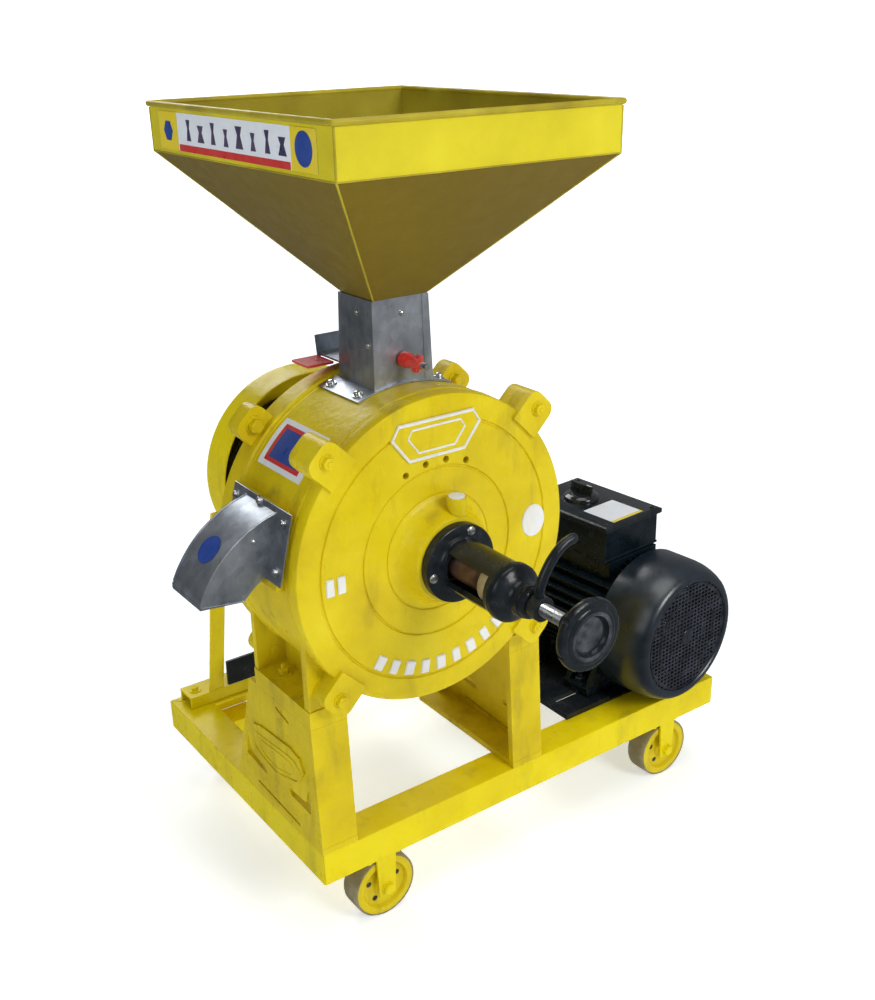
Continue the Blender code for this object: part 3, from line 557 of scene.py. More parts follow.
# ---------------------------------------------------------------- frame and castors
def build_frame():
    for side in ("front", "rear", "left", "right"):
        refined("frame_rail_" + side, RAIL, 1.6, slot="yellow_enamel")
    refined("cross_channel", RAIL, 1.0, slot="yellow_enamel")
    for side in ("left", "right"):
        refined("guard_post_" + side, RAIL, 1.0, slot="yellow_enamel")
    refined("guard_cross_bar", BLACK, 0.8, slot="black_enamel")

    def corner_welds(bm):
        x0, x1, depth = -192.0, 571.0, 496.0
        for n, (x, sx) in enumerate(((x0, 1), (x1, -1))):
            for m, (y, sy) in enumerate(((0.0, 1), (depth, -1))):
                seed = 10 * n + m
                add_wobbly_bead(bm, [(x + sx * 4, y + sy * 4, FRAME_TOP - 0.9),
                                     (x + sx * 53, y + sy * 53, FRAME_TOP - 0.9)], 1.6, seed)

    piece("corner_welds", corner_welds, RAIL, slot="yellow_enamel")

    def stand_welds(bm):
        for sign, x in ((1, -190.0), (-1, 190.0)):
            inner = x + sign * 52
            add_wobbly_bead(bm, [(x, 2.0, FRAME_TOP + 0.6), (inner, 2.0, FRAME_TOP + 0.6)], 2.2, 31)
            add_wobbly_bead(bm, [(x - sign * 0.5, 4, FRAME_TOP + 0.6),
                                 (x - sign * 0.5, 60, FRAME_TOP + 0.6)], 2.0, 32)

    piece("stand_welds", stand_welds, RAIL, slot="yellow_enamel")

    def channel_bolts(bm):
        for x in (-158.0, 158.0):
            add_bolt(bm, (x, 467, 177), (0, 0, 1), 10, 5, washer=20)
        for x in (-128.0, 128.0):
            add_wobbly_bead(bm, [(x - 12, 447, 177.6), (x + 12, 447, 177.6)], 1.8, 40)

    piece("channel_bolts", channel_bolts, RAIL, slot="yellow_enamel")


def build_castor(tag, cx, cy):
    body = "wheel_" + tag

    def rim(bm):
        half = [(7.2, 18), (13, 18), (14.5, 17), (16.5, 11), (19, 10.6), (31, 10.6), (34, 12), (36, 17),
                (37, 18), (44, 18), (46.4, 17)]
        add_lathe(bm, mirrored(half, cy), 64, cx, CASTOR_R)

    piece("castor_hub_" + tag, rim, CAST, body=body, stands_for=("castor_wheel_" + tag,),
          slot="yellow_enamel")

    def tread(bm):
        rng = random.Random(hash_of(tag))
        profile = mirrored([(46.5, 17.4), (48.6, 17.6), (49.5, 16.2), (49.9, 12), (50, 4)])
        loops = []
        for c, s in ring(72, 1.0):
            worn = 0.35 * rng.random()
            loops.append([(cx + (r - worn) * c, cy + y, CASTOR_R + (r - worn) * s) for r, y in profile])
        add_skin(bm, loops, closed=True)

    piece("castor_tread_" + tag, tread, TREAD, body=body, slot="yellow_enamel")

    # Painted shade: thin dark iron discs laid on the web faces stand in for the shade inside the web holes.
    def web_hole_shade(bm):
        for k in range(5):
            x, z = polar(25, 90 + 72 * k)
            for face in (-10.7, 10.5):
                y0, y1 = cy + face, cy + face + 0.3
                add_lathe(bm, [(4.2, y0), (4.2, y1), (0, y1), (0, y0)], 20, cx + x, CASTOR_R + z)

    piece("castor_web_hole_shade_" + tag, web_hole_shade, IRON, body=body)
    refined("castor_bracket_" + tag, RAIL, 1.0, slot="yellow_enamel")

    def axle(bm):
        add_lathe(bm, mirrored([(0, 29), (5.6, 29), (6.0, 28)], cy), 24, cx, CASTOR_R)
        for side in (-1, 1):
            add_bolt(bm, (cx, cy + side * 23.4, CASTOR_R), (0, side, 0), 15, 5.4, washer=20)

    piece("castor_axle_bolt_" + tag, axle, RAIL, stands_for=("castor_axle_" + tag,), slot="bright_steel")

    def plate_bolts(bm):
        for dx in (-24, 24):
            for dy in (-15, 15):
                add_bolt(bm, (cx + dx, cy + dy, 103.0), (0, 0, -1), 8, 4, washer=12)

    piece("castor_plate_bolts_" + tag, plate_bolts, RAIL, slot="yellow_enamel")


def hash_of(word):
    """A number of its own for each name, the same on every run."""
    return sum((k + 1) * ord(letter) for k, letter in enumerate(word))


# ---------------------------------------------------------------- stands and grinding casing
def build_stand(tag, sign):
    refined("mill_stand_" + tag, CAST, 2.2, slot="yellow_enamel", segments=3)
    face = sign * 194.2

    def badge(bm):
        """Two plain raised borders on the blank cast plate."""
        border = [(178, 250), (168, 266), (146, 268), (72, 277), (50, 272), (42, 262), (54, 246), (76, 240),
                  (112, 229), (148, 233), (170, 239)]
        inner = [(110 + (y - 110) * 0.72, 252 + (z - 252) * 0.62) for y, z in border]
        for outline, radius in ((border, 1.5), (inner, 1.2)):
            loop = [(face, y, z) for y, z in outline + outline[:1]]
            add_tube(bm, smooth_path(loop, 3)[:-1], radius, 8, closed=True)

    piece("stand_badge_" + tag, badge, CAST, slot="yellow_enamel")

    def foot_bolts(bm):
        for y in (52, 120):
            add_bolt(bm, (sign * 168.0, y, PLATE_TOP), (0, 0, 1), 14, 8, washer=24, stem=6)

    piece("foot_bolts_" + tag, foot_bolts, CAST, slot="yellow_enamel")


def lug_outline(inner):
    """Rounded lug end, seen from the front, for a lug that points along +X."""
    half, corner = LUG_W / 2, 14
    turns = (0.0, 0.4, 0.8, 1.2, 1.57)
    nose = [(LUG_END - corner + corner * math.cos(t), (half - corner) + corner * math.sin(t)) for t in turns]
    return [(inner, -half)] + [(x, -z) for x, z in reversed(nose)] + nose + [(inner, half)]


def add_lug(bm, angle, y0, y1, inner):
    c, s = math.cos(angle), math.sin(angle)
    add_prism(bm, [(x * c - z * s, x * s + z * c) for x, z in lug_outline(inner)], "y", y0, y1)


def lugs(y0, y1, inner=196.0):
    """Solids of the four lugs from y0 to y1."""
    return [cutter(add_lug, a, y0, y1, inner, placed=drum_at) for a in CORNERS]


def lug_bores(y0, y1):
    spots = [(LUG_R * math.cos(a), LUG_R * math.sin(a)) for a in CORNERS]
    return [cutter(add_lathe, [(7.0, y0), (7.0, y1), (0, y1), (0, y0)], 24, *spot, placed=drum_at)
            for spot in spots]


def build_casing():
    """The drum, its feet and the lugs behind the cover."""
    profile = [(193, 8), (209, 8), (210, 9), (210, 146), (211, 149), (214, 151.5), (214, 160), (213, 161),
               (193, 161)]
    drum = solid("casing_drum", add_lathe, profile, 160, placed=drum_at)
    pad = [(-190, 640), (-197.5, 656), (-222.5, 556), (-190, 548)]
    solids = lugs(8.0, 29.0, 200.0) + [cutter(add_prism, pad, "y", 16.0, 148.0)]

    def webs(bm, x0, x1):
        for y0, y1 in ((12, 24), (150, 159.5)):
            add_box(bm, x0, x1, y0, y1, 370, 470)

    for sign in (-1, 1):
        solids.append(cutter(add_box, *span(sign, 137.0, 192.0), 10, 160.5, STAND_TOP + 0.3, PLATE_TOP))
        solids.append(cutter(webs, *span(sign, 138.0, 191.0)))
        solids.append(cutter(add_box, *span(sign, 139.0, 147.0), 14, 158, 369, 440))
    carve(drum, *solids, how="UNION")
    bore = [(193, 7), (193, 162), (0, 162), (0, 7)]
    outlet = [(-150, 634), (-230, 634), (-230, 578), (-150, 578)]
    carve(drum, cutter(add_lathe, bore, 160, placed=drum_at), cutter(add_box, -36, 36, 62, 132, 730, 790),
          cutter(add_prism, outlet, "y", 44, 112), *lug_bores(6, 32))
    dress(drum, CAST, stands_for=("mill_casing",), slot="yellow_enamel", edge=1.6)

    def seam(bm):
        """Cast-in bead where the cover spigot meets the drum, and the rear fillet."""
        for y, r, size in ((12.0, 209.6, 1.3), (146.0, 209.8, 1.6)):
            add_tube(bm, [(x, y, z) for x, z in ring(180, r)], size, 8, closed=True)

    piece("casing_beads", seam, CAST, placed=drum_at, slot="yellow_enamel")


def build_rear_plate():
    profile = [(30, 161.3), (211, 161.3), (212, 162.3), (212, 187), (210, 190), (206, 192), (110, 192),
               (30, 192)]
    plate = solid("rear_plate_finished", add_lathe, profile, 128, placed=drum_at)
    carve(plate, *lugs(161.3, 188.0), how="UNION")
    carve(plate, *lug_bores(158, 196))
    dress(plate, CAST, stands_for=("rear_plate",), slot="yellow_enamel", edge=1.6)

    def bolts(bm):
        for a in CORNERS:
            x, z = LUG_R * math.cos(a), LUG_R * math.sin(a)
            add_bolt(bm, (x, 161.2, z), (0, -1, 0), 17, 10, washer=25)
            add_bolt(bm, (x, 188.2, z), (0, 1, 0), 17, 10, washer=25, stem=6)
            add_bolt(bm, (68 * math.cos(a), 206, 68 * math.sin(a)), (0, 1, 0), 14, 8, washer=20)

    piece("rear_bolts", bolts, CAST, placed=drum_at, slot="yellow_enamel")

    housing = [(26, 192.3), (79, 192.3), (80, 193.5), (80, 204), (78, 206), (64, 207), (57, 212), (53, 222),
               (52, 286), (54, 289), (56, 291), (56, 302), (54, 304), (26, 304)]
    turned("bearing_housing_finished", housing, 96, CAST, placed=drum_at, stands_for=("bearing_housing",),
           slot="yellow_enamel")

    def ribs(bm):
        for k in range(4):
            c, s = polar(1.0, 90 * k)
            flat = [(52, 206), (78, 206), (54, 262), (52, 262)]
            low = [(r * c - 3 * s, y, r * s + 3 * c) for r, y in flat]
            high = [(r * c + 3 * s, y, r * s - 3 * c) for r, y in flat]
            add_skin(bm, [low, high])
        add_lathe(bm, [(6, 240), (6, 246), (0, 246), (0, 240)], 12)

    piece("housing_ribs", ribs, CAST, placed=drum_at, slot="yellow_enamel", edge=1.0)


# ---------------------------------------------------------------- front cover
def build_cover():
    face = COVER_FACE
    profile = [
        (24, -47.6), (25, -48.3), (55, -48.3), (57.4, -47.2), (59, -44), (61.6, -36), (64.6, -26),
        (69, -18.5), (74, -14.6), (78.4, face - 0.3), (79.2, face + 1.5), (80.6, face + 1.5), (81.6, face),
        (113.2, face), (114.4, face + 1.9), (116.2, face + 1.9), (117.4, face - 0.3), (150, face + 0.4),
        (174.8, face), (176.0, face + 2.2), (178.0, face + 2.2), (179.4, face - 0.2),
        (205, face), (208.6, face + 1.2), (210, face + 4), (210, 7.7), (24, 7.7),
    ]
    cover = solid("front_cover_finished", add_lathe, profile, 180, placed=drum_at)
    carve(cover, *lugs(-18.0, 7.7), how="UNION")
    vent = [(4.6, -30), (4.6, 5), (0, 5), (0, -30)]
    vents = [cutter(add_lathe, vent, 24, *polar(124, d), placed=drum_at) for d in (68, 83, 97.5, 112)]
    carve(cover, *vents, *lug_bores(-30, 20))
    dress(cover, CAST, stands_for=("front_cover",), slot="yellow_enamel", edge=1.4)

    for k, a in enumerate(CORNERS):
        def bolt(bm, a=a):
            x, z = LUG_R * math.cos(a), LUG_R * math.sin(a)
            add_lathe(bm, [(0, 27), (5.4, 27), (6.2, 26), (6.2, -18.1), (0, -18.1)], 20, x, z)
            add_bolt(bm, (x, -18.1, z), (0, -1, 0), 14, 6.4, washer=20, stem=1.2)

        piece("cover_bolt_finished_%d" % (k + 1), bolt, CAST, placed=drum_at,
              stands_for=("cover_bolt_%d" % (k + 1),), slot="yellow_enamel", edge=0.5)

    low = face + 0.5

    def plaque(size, level):
        """Outline of the blank raised plaque above the vent holes."""
        outline = [(-44, 132), (44, 132), (70, 165), (60, 182), (-60, 182), (-70, 165)]
        return [Vector((x * size, level, 157 + (z - 157) * size)) for x, z in outline]

    def emblem_plate(bm):
        add_skin(bm, [plaque(0.99, low + 1), plaque(0.96, face - 2.2)])

    piece("cover_plaque", emblem_plate, CAST, placed=drum_at, slot="yellow_enamel", edge=0.8)

    def emblem_rim(bm):
        for size, radius in ((0.95, 2.3), (0.62, 1.6)):
            add_tube(bm, [tuple(p) for p in plaque(size, face - 2.1)], radius, 10, closed=True)

    piece("cover_plaque_rim", emblem_rim, WHITE_PAINT, placed=drum_at, slot="yellow_enamel")

    def white_bars(bm):
        """Plain raised bars where a maker's lettering would be: an arc below and two at the left."""
        for k in range(9):
            a = math.radians(-126 + 72 * k / 8)
            radial = Vector((math.cos(a), 0, math.sin(a)))
            along = Vector((-radial.z, 0, radial.x))
            centre = radial * 163
            wide, tall = (6.4, 10.4) if k % 2 else (7.4, 10.4)
            corners = []
            for u, v in ((-wide, -tall), (wide, -tall), (wide, tall), (-wide, tall)):
                corners.append(centre + along * u + radial * v)
            back = [Vector((p.x, low, p.z)) for p in corners]
            front = []
            for p in corners:
                q = centre.lerp(p, 0.86)
                front.append(Vector((q.x, face - 2.6, q.z)))
            add_skin(bm, [back, front])
        for x in (-163.5, -147.0):
            loops = []
            for level, half, z0, z1 in ((low, 6, -16, 8), (face - 2.6, 5, -15, 7)):
                loops.append([(x - half, level, z0), (x + half, level, z0), (x + half, level, z1),
                              (x - half, level, z1)])
            add_skin(bm, loops)

    piece("cover_white_bars", white_bars, WHITE_PAINT, placed=drum_at, slot="yellow_enamel", edge=0.9)

    def oval(bm):
        loops = []
        for size, level in ((1.0, low), (0.97, face - 1.6), (0.84, face - 2.8)):
            loops.append([(159 + 19.5 * size * a, level, 1 + 23.5 * size * b) for a, b in ring(40, 1.0)])
        add_skin(bm, loops)

    piece("cover_oval", oval, WHITE_PAINT, placed=drum_at, slot="yellow_enamel")

    def cup(bm):
        barrel = [(11.6, 612), (11.6, 636.6), (10.8, 637.6), (0, 637.6), (0, 612)]
        collar = [(12.6, 626), (12.6, 637), (11.4, 638), (11.4, 626)]
        for profile in (barrel, collar):
            add_lathe(bm, profile, 40, 12.5, axis="z", cy=-37)

    boss = [(57.0, -52), (57.5, -50), (61.5, -40), (66.5, -26), (79.8, face - 0.3), (0, face - 0.3), (0, -52)]
    piece("grease_cup_body", cup, CAST, cut=(cutter(add_lathe, boss, 96, placed=drum_at),),
          stands_for=("grease_cup",), slot="yellow_enamel")

    cap = [(10.6, 637.4), (10.6, 639.4), (9.6, 640), (0, 640), (0, 637.4)]
    turned("grease_cup_cap", cap, 40, LABEL, (12.5, 0.0), "z", -37, slot="yellow_enamel")


# ---------------------------------------------------------------- stones and spindle
def build_mill_works():
    fixed = [(62, 115), (63, 114), (176, 114), (177.5, 115.5), (177.5, 160.8), (62, 160.8)]
    running = [(62, 70), (177.5, 70), (177.5, 111), (176, 112.5), (63, 112.5), (62, 111.5)]
    carrier = [(25.3, 24), (44, 24), (46, 26), (49, 50), (54, 53), (148, 56), (150, 58), (150, 69.7),
               (25.3, 69.7)]
    shaft = [(0, -126), (16, -126), (19, -123), (20, -121), (20, 21), (25, 22), (25, 299), (22, 301),
             (22, 362), (20.5, 364), (0, 364)]
    bearing = [(0, -146), (12, -146), (13, -144.6), (17, -144.6), (18, -146), (24, -146), (26.2, -144.5),
               (26.5, -142), (26.5, -129), (25.6, -127), (0, -127)]
    for node, profile, count, mat, body, slot in (
        ("fixed_stone", fixed, 120, EMERY, "mill", "emery_stone"),
        ("running_stone", running, 120, EMERY, "spindle", "emery_stone"),
        ("stone_carrier", carrier, 96, IRON, "spindle", "cast_iron"),
        ("spindle", shaft, 64, SHAFT, "spindle", "dark_steel"),
        ("thrust_bearing", bearing, 64, BEARING, "mill", "bright_steel"),
    ):
        turned(node + "_finished", profile, count, mat, placed=drum_at, body=body, stands_for=(node,),
               slot=slot)


# ---------------------------------------------------------------- stone adjuster
def build_adjuster():
    tube = [(27.5, -158), (34.2, -158), (35, -157), (35, -68), (36, -65), (38.5, -62.8), (50.6, -62.6),
            (52.2, -61.6), (52.6, -60), (52.6, -49.4), (52, -48.6), (27.5, -48.6)]
    window = [(0.0, 0.0)] + [polar(45, d) for d in range(137, 213, 5)]
    housing = solid("adjuster_housing_finished", add_lathe, tube, 120, placed=drum_at)
    carve(housing, cutter(add_prism, window, "y", -150.0, -70.0, placed=drum_at))
    dress(housing, BLACK, stands_for=("adjuster_housing",), slot="black_enamel", edge=0.8)

    spots = [polar(44.2, degrees) for degrees in (190, 70, -50)]

    def flange_screws(bm):
        for x, z in spots:
            add_bolt(bm, (x, -62.3, z), (0, -1, 0), 12.5, 3.4, round_head=True)

    piece("flange_screws", flange_screws, STEEL, placed=drum_at)

    # Painted shade: thin dark iron bars across the screw heads stand in for the shade in their slots.
    def screw_slot_shade(bm):
        for x, z in spots:
            add_box(bm, x - 4.6, x + 4.6, -65.9, -65.2, z - 0.8, z + 0.8)

    piece("flange_screw_slot_shade", screw_slot_shade, IRON, placed=drum_at)

    cap = [(9.3, -158.3), (36.4, -158.3), (37.3, -159.2), (37.3, -167.5), (36.2, -170), (33.6, -172.6),
           (28.5, -176), (24, -178.8), (21.4, -182), (20.2, -186), (20, -190), (20, -200), (19, -203),
           (16.5, -205), (9.3, -205)]
    turned("adjuster_cap_finished", cap, 96, BLACK, placed=drum_at, stands_for=("adjuster_cap",),
           slot="black_enamel")

    def collar_line(bm):
        for radius, y, count, size in ((36.6, -160.0, 120, 1.1), (20.3, -196.0, 80, 0.9)):
            add_tube(bm, [(x, y, z) for x, z in ring(count, radius)], size, 8, closed=True)

    piece("adjuster_cap_beads", collar_line, BLACK, placed=drum_at)

    def screw(bm):
        """A real single-start thread, with a plain nose at its inner end."""
        pitch, crest, root, sides = 2.5, 8.5, 7.2, 28
        start, end = -166.0, -259.7
        turns = int(abs(end - start) / pitch)
        loops = []
        steps = turns * 8
        for k in range(steps + 1):
            y = start + (end - start) * k / steps
            loop = []
            for m in range(sides):
                a = 2 * math.pi * m / sides
                phase = (abs(y - start) / pitch - a / (2 * math.pi)) % 1.0
                wave = 1 - abs(2 * phase - 1)
                r = root + (crest - root) * min(1.0, max(0.0, 1.5 * wave - 0.2))
                loop.append((r * math.cos(a), y, r * math.sin(a)))
            loops.append(loop)
        add_skin(bm, loops)
        add_lathe(bm, [(0, -152.5), (6, -152.5), (7.2, -154), (7.2, -167), (0, -167)], sides)

    piece("adjusting_screw_finished", screw, STEEL, placed=drum_at, body="adjusting_screw",
          stands_for=("adjusting_screw",), slot="bright_steel", angle=60)

    def lever(bm):
        add_lathe(bm, [(9.3, -222), (14.6, -222), (15.5, -221), (15.5, -207), (14.6, -206), (9.3, -206)], 64)
        centre = [(0, 570.0), (-1.5, 578), (2.5, 590), (9, 602), (17, 613), (27, 622.5), (38, 629),
                  (48, 631.5), (54, 630.5)]
        path = smooth_path([(x, -214, z - SPINDLE_Z) for x, z in centre], 5)

        def thickness(share):
            if share < 0.12:
                return 5.2 + 9 * share
            if share > 0.9:
                return 6.6 * math.sqrt(max(0.05, 1 - ((share - 0.9) / 0.105) ** 2))
            return 6.3

        add_tube(bm, path, thickness, 20)

    piece("lock_lever_finished", lever, BLACK, placed=drum_at, body="lock_lever", stands_for=("lock_lever",),
          slot="black_enamel")

    wheel = [(0, -260), (11.5, -260), (13, -261.5), (13.6, -286), (16, -288.4), (36, -288.6), (40.4, -289.6),
             (43, -291.4), (44, -294), (44, -298.4), (43.2, -300.6), (41, -302.2), (38, -302.8),
             (35.4, -302.6), (34.4, -303.6), (31, -304.5), (27.6, -304.2), (25.6, -302.6), (23.4, -298),
             (21, -296.8), (0, -297)]
    obj = solid("handwheel_finished", add_lathe, wheel, 120, placed=drum_at)
    notch = [(4.6, -310), (4.6, -280), (0, -280), (0, -310)]
    carve(obj, *[cutter(add_lathe, notch, 24, *polar(46.5, 20 + 60 * k), placed=drum_at) for k in range(6)])
    dress(obj, BLACK, body="handwheel", stands_for=("handwheel",), slot="black_enamel", edge=0.7)

    def recess(bm):
        add_lathe(bm, [(0, -297.2), (21.4, -297.2), (21.4, -296.9), (0, -296.9)], 60)
        crest = [(25.4, -303.7), (27.8, -304.4), (30.9, -304.4), (33.6, -303.7), (33.6, -303.2),
                 (25.4, -303.2)]
        add_lathe(bm, crest, 90)

    piece("handwheel_dust_face", recess, WHEEL_DUST, placed=drum_at, body="handwheel")


# ---------------------------------------------------------------- feed neck, gate and hopper
def rect(cx, cy, hx, hy, z):
    """A rectangle with slightly rounded corners, as a loop of points."""
    r = min(2.0, hx * 0.2)
    points = []
    for sx, sy, start in ((1, 1, 0), (-1, 1, 90), (-1, -1, 180), (1, -1, 270)):
        for step in (0, 30, 60, 90):
            x, y = polar(r, start + step)
            points.append((cx + sx * (hx - r) + x, cy + sy * (hy - r) + y, z))
    return points


def build_neck():
    sheet, saddle_r = 2.0, 212.8
    outside = [rect(0, NECK_CY, 45, 43, 745), rect(0, NECK_CY, 42, 40, NECK_TOP)]
    neck = solid("feed_neck_finished", add_skin, outside)
    arc = [math.radians(70 + 40 * k / 24) for k in range(25)]
    saddle = [(saddle_r * math.cos(a), saddle_r * math.sin(a)) for a in arc]
    saddle += [(210.6 * math.cos(a), 210.6 * math.sin(a)) for a in reversed(arc)]
    carve(neck, cutter(add_prism, saddle, "y", 50.0, 146.0, placed=drum_at), how="UNION")
    inside = [rect(0, NECK_CY, 45 - sheet, 43 - sheet, 740)]
    inside += [rect(0, NECK_CY, 42 - sheet, 40 - sheet, NECK_TOP + 5)]
    below = [(210.6, 30), (210.6, 170), (0, 170), (0, 30)]
    knob_hole = [(5.4, 40), (5.4, 70), (0, 70), (0, 40)]
    carve(neck, cutter(add_skin, inside), cutter(add_lathe, below, 160, placed=drum_at),
          cutter(add_box, -40, 40, 130, 150, 779.5, 784.5), cutter(add_lathe, knob_hole, 24, 0.0, 799.0))
    dress(neck, ZINC, stands_for=("feed_neck",), slot="galvanised_sheet", edge=0.5)

    def fixings(bm):
        left, front = (-1, 0, 0.02), (0, -1, 0.02)
        for spot, normal in (((-42.9, 91, 858), left), ((-43.6, 66, 820), left), ((1, 56.4, 857), front),
                             ((42.9, 91, 858), (1, 0, 0.02)), ((1, 137.4, 857), (0, 1, 0.02))):
            add_bolt(bm, spot, normal, 7.5, 3.2, round_head=True, slot_cut=True)
        for degrees, y in ((107, 66), (107, 130), (73, 66), (73, 130)):
            c, s = polar(1.0, degrees)
            spot = (saddle_r * c, y, SPINDLE_Z + saddle_r * s)
            add_bolt(bm, spot, (c, 0, s), 10, 5, washer=15, round_head=True)

    piece("neck_fixings", fixings, STEEL)

    def lap(bm):
        """Folded edge strips up the front corners."""
        for sign in (-1, 1):
            loops = []
            for x0, x1, y0, y1, z in ((45.3, 33, 53.6, 53.2, 747), (42.3, 32, 56.9, 56.5, 876)):
                loops.append([(sign * x, y, z) for x, y in ((x0, y0), (x0, y1), (x1, y1), (x1, y0))])
            add_skin(bm, loops)

    piece("neck_lap_strips", lap, ZINC, slot="galvanised_sheet")
    refined("feed_gate", ZINC, 0.5, body="feed_gate", slot="galvanised_sheet")
    refined("gate_grip", RED, 1.0, body="feed_gate", slot="red_plastic")

    def knob(bm):
        stem = [(0, 64), (4.2, 64), (5, 63), (5, 53.6), (9, 53.6), (10, 52.6), (10, 41), (9, 38), (7.4, 34),
                (6.6, 22), (6, 15), (5.6, 14), (0, 14)]
        add_lathe(bm, stem, 40)
        for sign in (-1, 1):
            path = smooth_path([(0, 26, sign * 3), (0, 24, sign * 8), (0, 23, sign * 11.5)], 5)
            loops = []
            for k, p in enumerate(path):
                share = k / (len(path) - 1)
                wide, thick = 8.5 - 2.5 * share, 3.6 - 1.0 * share
                if k == len(path) - 1:
                    wide, thick = wide * 0.6, thick * 0.5
                loops.append([(p.x + thick * b, p.y + wide * a, p.z) for a, b in ring(20, 1.0)])
            add_skin(bm, loops)

    def knob_at(x, y, z):
        c, s = polar(1.0, -25)
        return at(x * c - z * s, y, 799 + x * s + z * c)

    piece("wing_knob_finished", knob, RED, placed=knob_at, body="wing_knob", stands_for=("wing_knob",),
          slot="red_plastic")

    tip = [(0, 14.5), (4.4, 14.5), (4.6, 4), (3.8, 2), (0, 2)]
    turned("wing_knob_screw_tip", tip, 24, STEEL, placed=knob_at, body="wing_knob")


def hopper_at(x, y, z):
    """The hopper sits half a degree askew on its neck."""
    c, s = polar(1.0, -0.5)
    return at(x * c - (y - 95) * s, 95 + x * s + (y - 95) * c, z)


def build_hopper():
    cy, hx, hy, t = 95.0, 190.0, 224.0, 2.0
    rim, band, top, shift = 1108.0, 1048.0, NECK_TOP + 0.3, -2.0
    throat_y = cy - 2

    def between(share, inset=0.0):
        """The wall of the funnel part, from the throat at 0 to the band at 1."""
        half_x = 40 + (hx - 40) * share - inset
        half_y = 37 + (hy - 37) * share - inset
        return rect(shift * share, throat_y + 2 * share, half_x, half_y, top + (band - top) * share)

    def shell(bm):
        steps = [0, 0.25, 0.5, 0.75, 0.97]
        loops = [between(s) for s in steps]
        loops += [rect(shift, cy, hx, hy, band + 0.6), rect(shift, cy, hx, hy, rim - 7.4)]
        loops += [rect(shift, cy, hx + 0.6, hy + 0.6, rim - 3), rect(shift, cy, hx - t, hy - t, rim - 1.2)]
        loops += [rect(shift, cy, hx - t, hy - t, band + 2)]
        loops += [between(s, t) for s in reversed(steps)]
        add_skin(bm, loops, closed=True)

    funnel = piece("hopper_shell", shell, HOPPER_PAINT, placed=hopper_at, stands_for=("hopper",),
                   slot="olive_yellow_enamel")
    # Painted shade: faces turned inward get the darker inside material, standing in for the shade inside the
    # hopper.
    funnel.data.materials.append(HOPPER_INSIDE_SHADE)
    centre = funnel.data.vertices[0].co.lerp(funnel.data.vertices[2].co, 0.5)
    for face in funnel.data.polygons:
        inward = face.normal.x * (face.center.x - centre.x) + face.normal.y * (face.center.y - centre.y) < 0
        face.material_index = 1 if inward else 0

    def bead(bm):
        """Wired edge: the sheet is rolled round a rod along the rim."""
        r = 3.6
        x, y, z = hx + 0.9, hy + 0.9, rim - r
        corners = [(-x, cy - y), (x, cy - y), (x, cy + y), (-x, cy + y)]
        path = []
        for cx, cyy in corners:
            sx, sy = (1 if cx > 0 else -1), (1 if cyy > cy else -1)
            start = {(-1, -1): 180, (1, -1): 270, (1, 1): 0, (-1, 1): 90}[(sx, sy)]
            for step in range(0, 91, 30):
                a, b = polar(2.0, start + step)
                path.append((shift + cx - sx * 2 + a, cyy - sy * 2 + b, z))
        add_tube(bm, path, r, 16, closed=True)

    piece("hopper_rolled_rim", bead, HOPPER_RIM, placed=hopper_at, slot="olive_yellow_enamel")

    def seams(bm):
        """Welded corner seams of the funnel and the band, and the fold line between them."""
        for sx in (-1, 1):
            for sy in (-1, 1):
                low = (sx * 39.6, throat_y + sy * 36.6, top + 1)
                mid = (shift + sx * (hx - 0.5), cy + sy * (hy - 0.5), band)
                add_tube(bm, [low, mid, (shift + sx * (hx - 0.4), cy + sy * (hy - 0.4), rim - 8)], 1.3, 8)
        add_tube(bm, rect(shift, cy, hx, hy, band), 0.9, 8, closed=True)

    piece("hopper_seams", seams, HOPPER_RIM, placed=hopper_at, slot="olive_yellow_enamel")

    x = shift - hx

    def label_part(y0, y1, z0, z1, lift):
        def build(bm):
            back = [(x + 0.2, y0, z0), (x + 0.2, y1, z0), (x + 0.2, y1, z1), (x + 0.2, y0, z1)]
            add_skin(bm, [back, [(x - lift, y, z) for _, y, z in back]])
        return build

    def label(name, mat, *extent):
        piece("hopper_label_" + name, label_part(*extent), mat, placed=hopper_at)

    label("sheet", LABEL, -96, 292, 1053, 1097, 0.35)
    label("band", LABEL_RED, -40, 236, 1053, 1061, 0.5)
    label("left", LABEL_YELLOW, 238, 292, 1053, 1097, 0.5)
    label("right", LABEL_YELLOW, -96, -42, 1053, 1097, 0.5)

    def shapes(bm):
        """Plain upright shapes in place of the label's small pictures."""
        for k in range(8):
            y = -24 + 33 * k
            tall = 24 if k % 2 else 19
            wide = 6 if k % 3 else 9
            z = 1066
            outline = [(y - wide, z), (y + wide, z), (y + wide * 0.4, z + tall * 0.6),
                       (y + wide * 0.9, z + tall), (y - wide * 0.9, z + tall),
                       (y - wide * 0.4, z + tall * 0.6)]
            add_skin(bm, [[(x - 0.1, a, b) for a, b in outline], [(x - 0.6, a, b) for a, b in outline]])

    piece("hopper_label_shapes", shapes, LABEL_DARK, placed=hopper_at)

    def discs(bm):
        for r, count, z, y in ((18, 40, 1076, -69), (13, 6, 1075, 265)):
            add_lathe(bm, [(r, x - 0.7), (r, x + 0.1), (0, x + 0.1), (0, x - 0.7)], count, 0, z, axis="x",
                      cy=y)

    piece("hopper_label_discs", discs, LABEL_BLUE, placed=hopper_at)


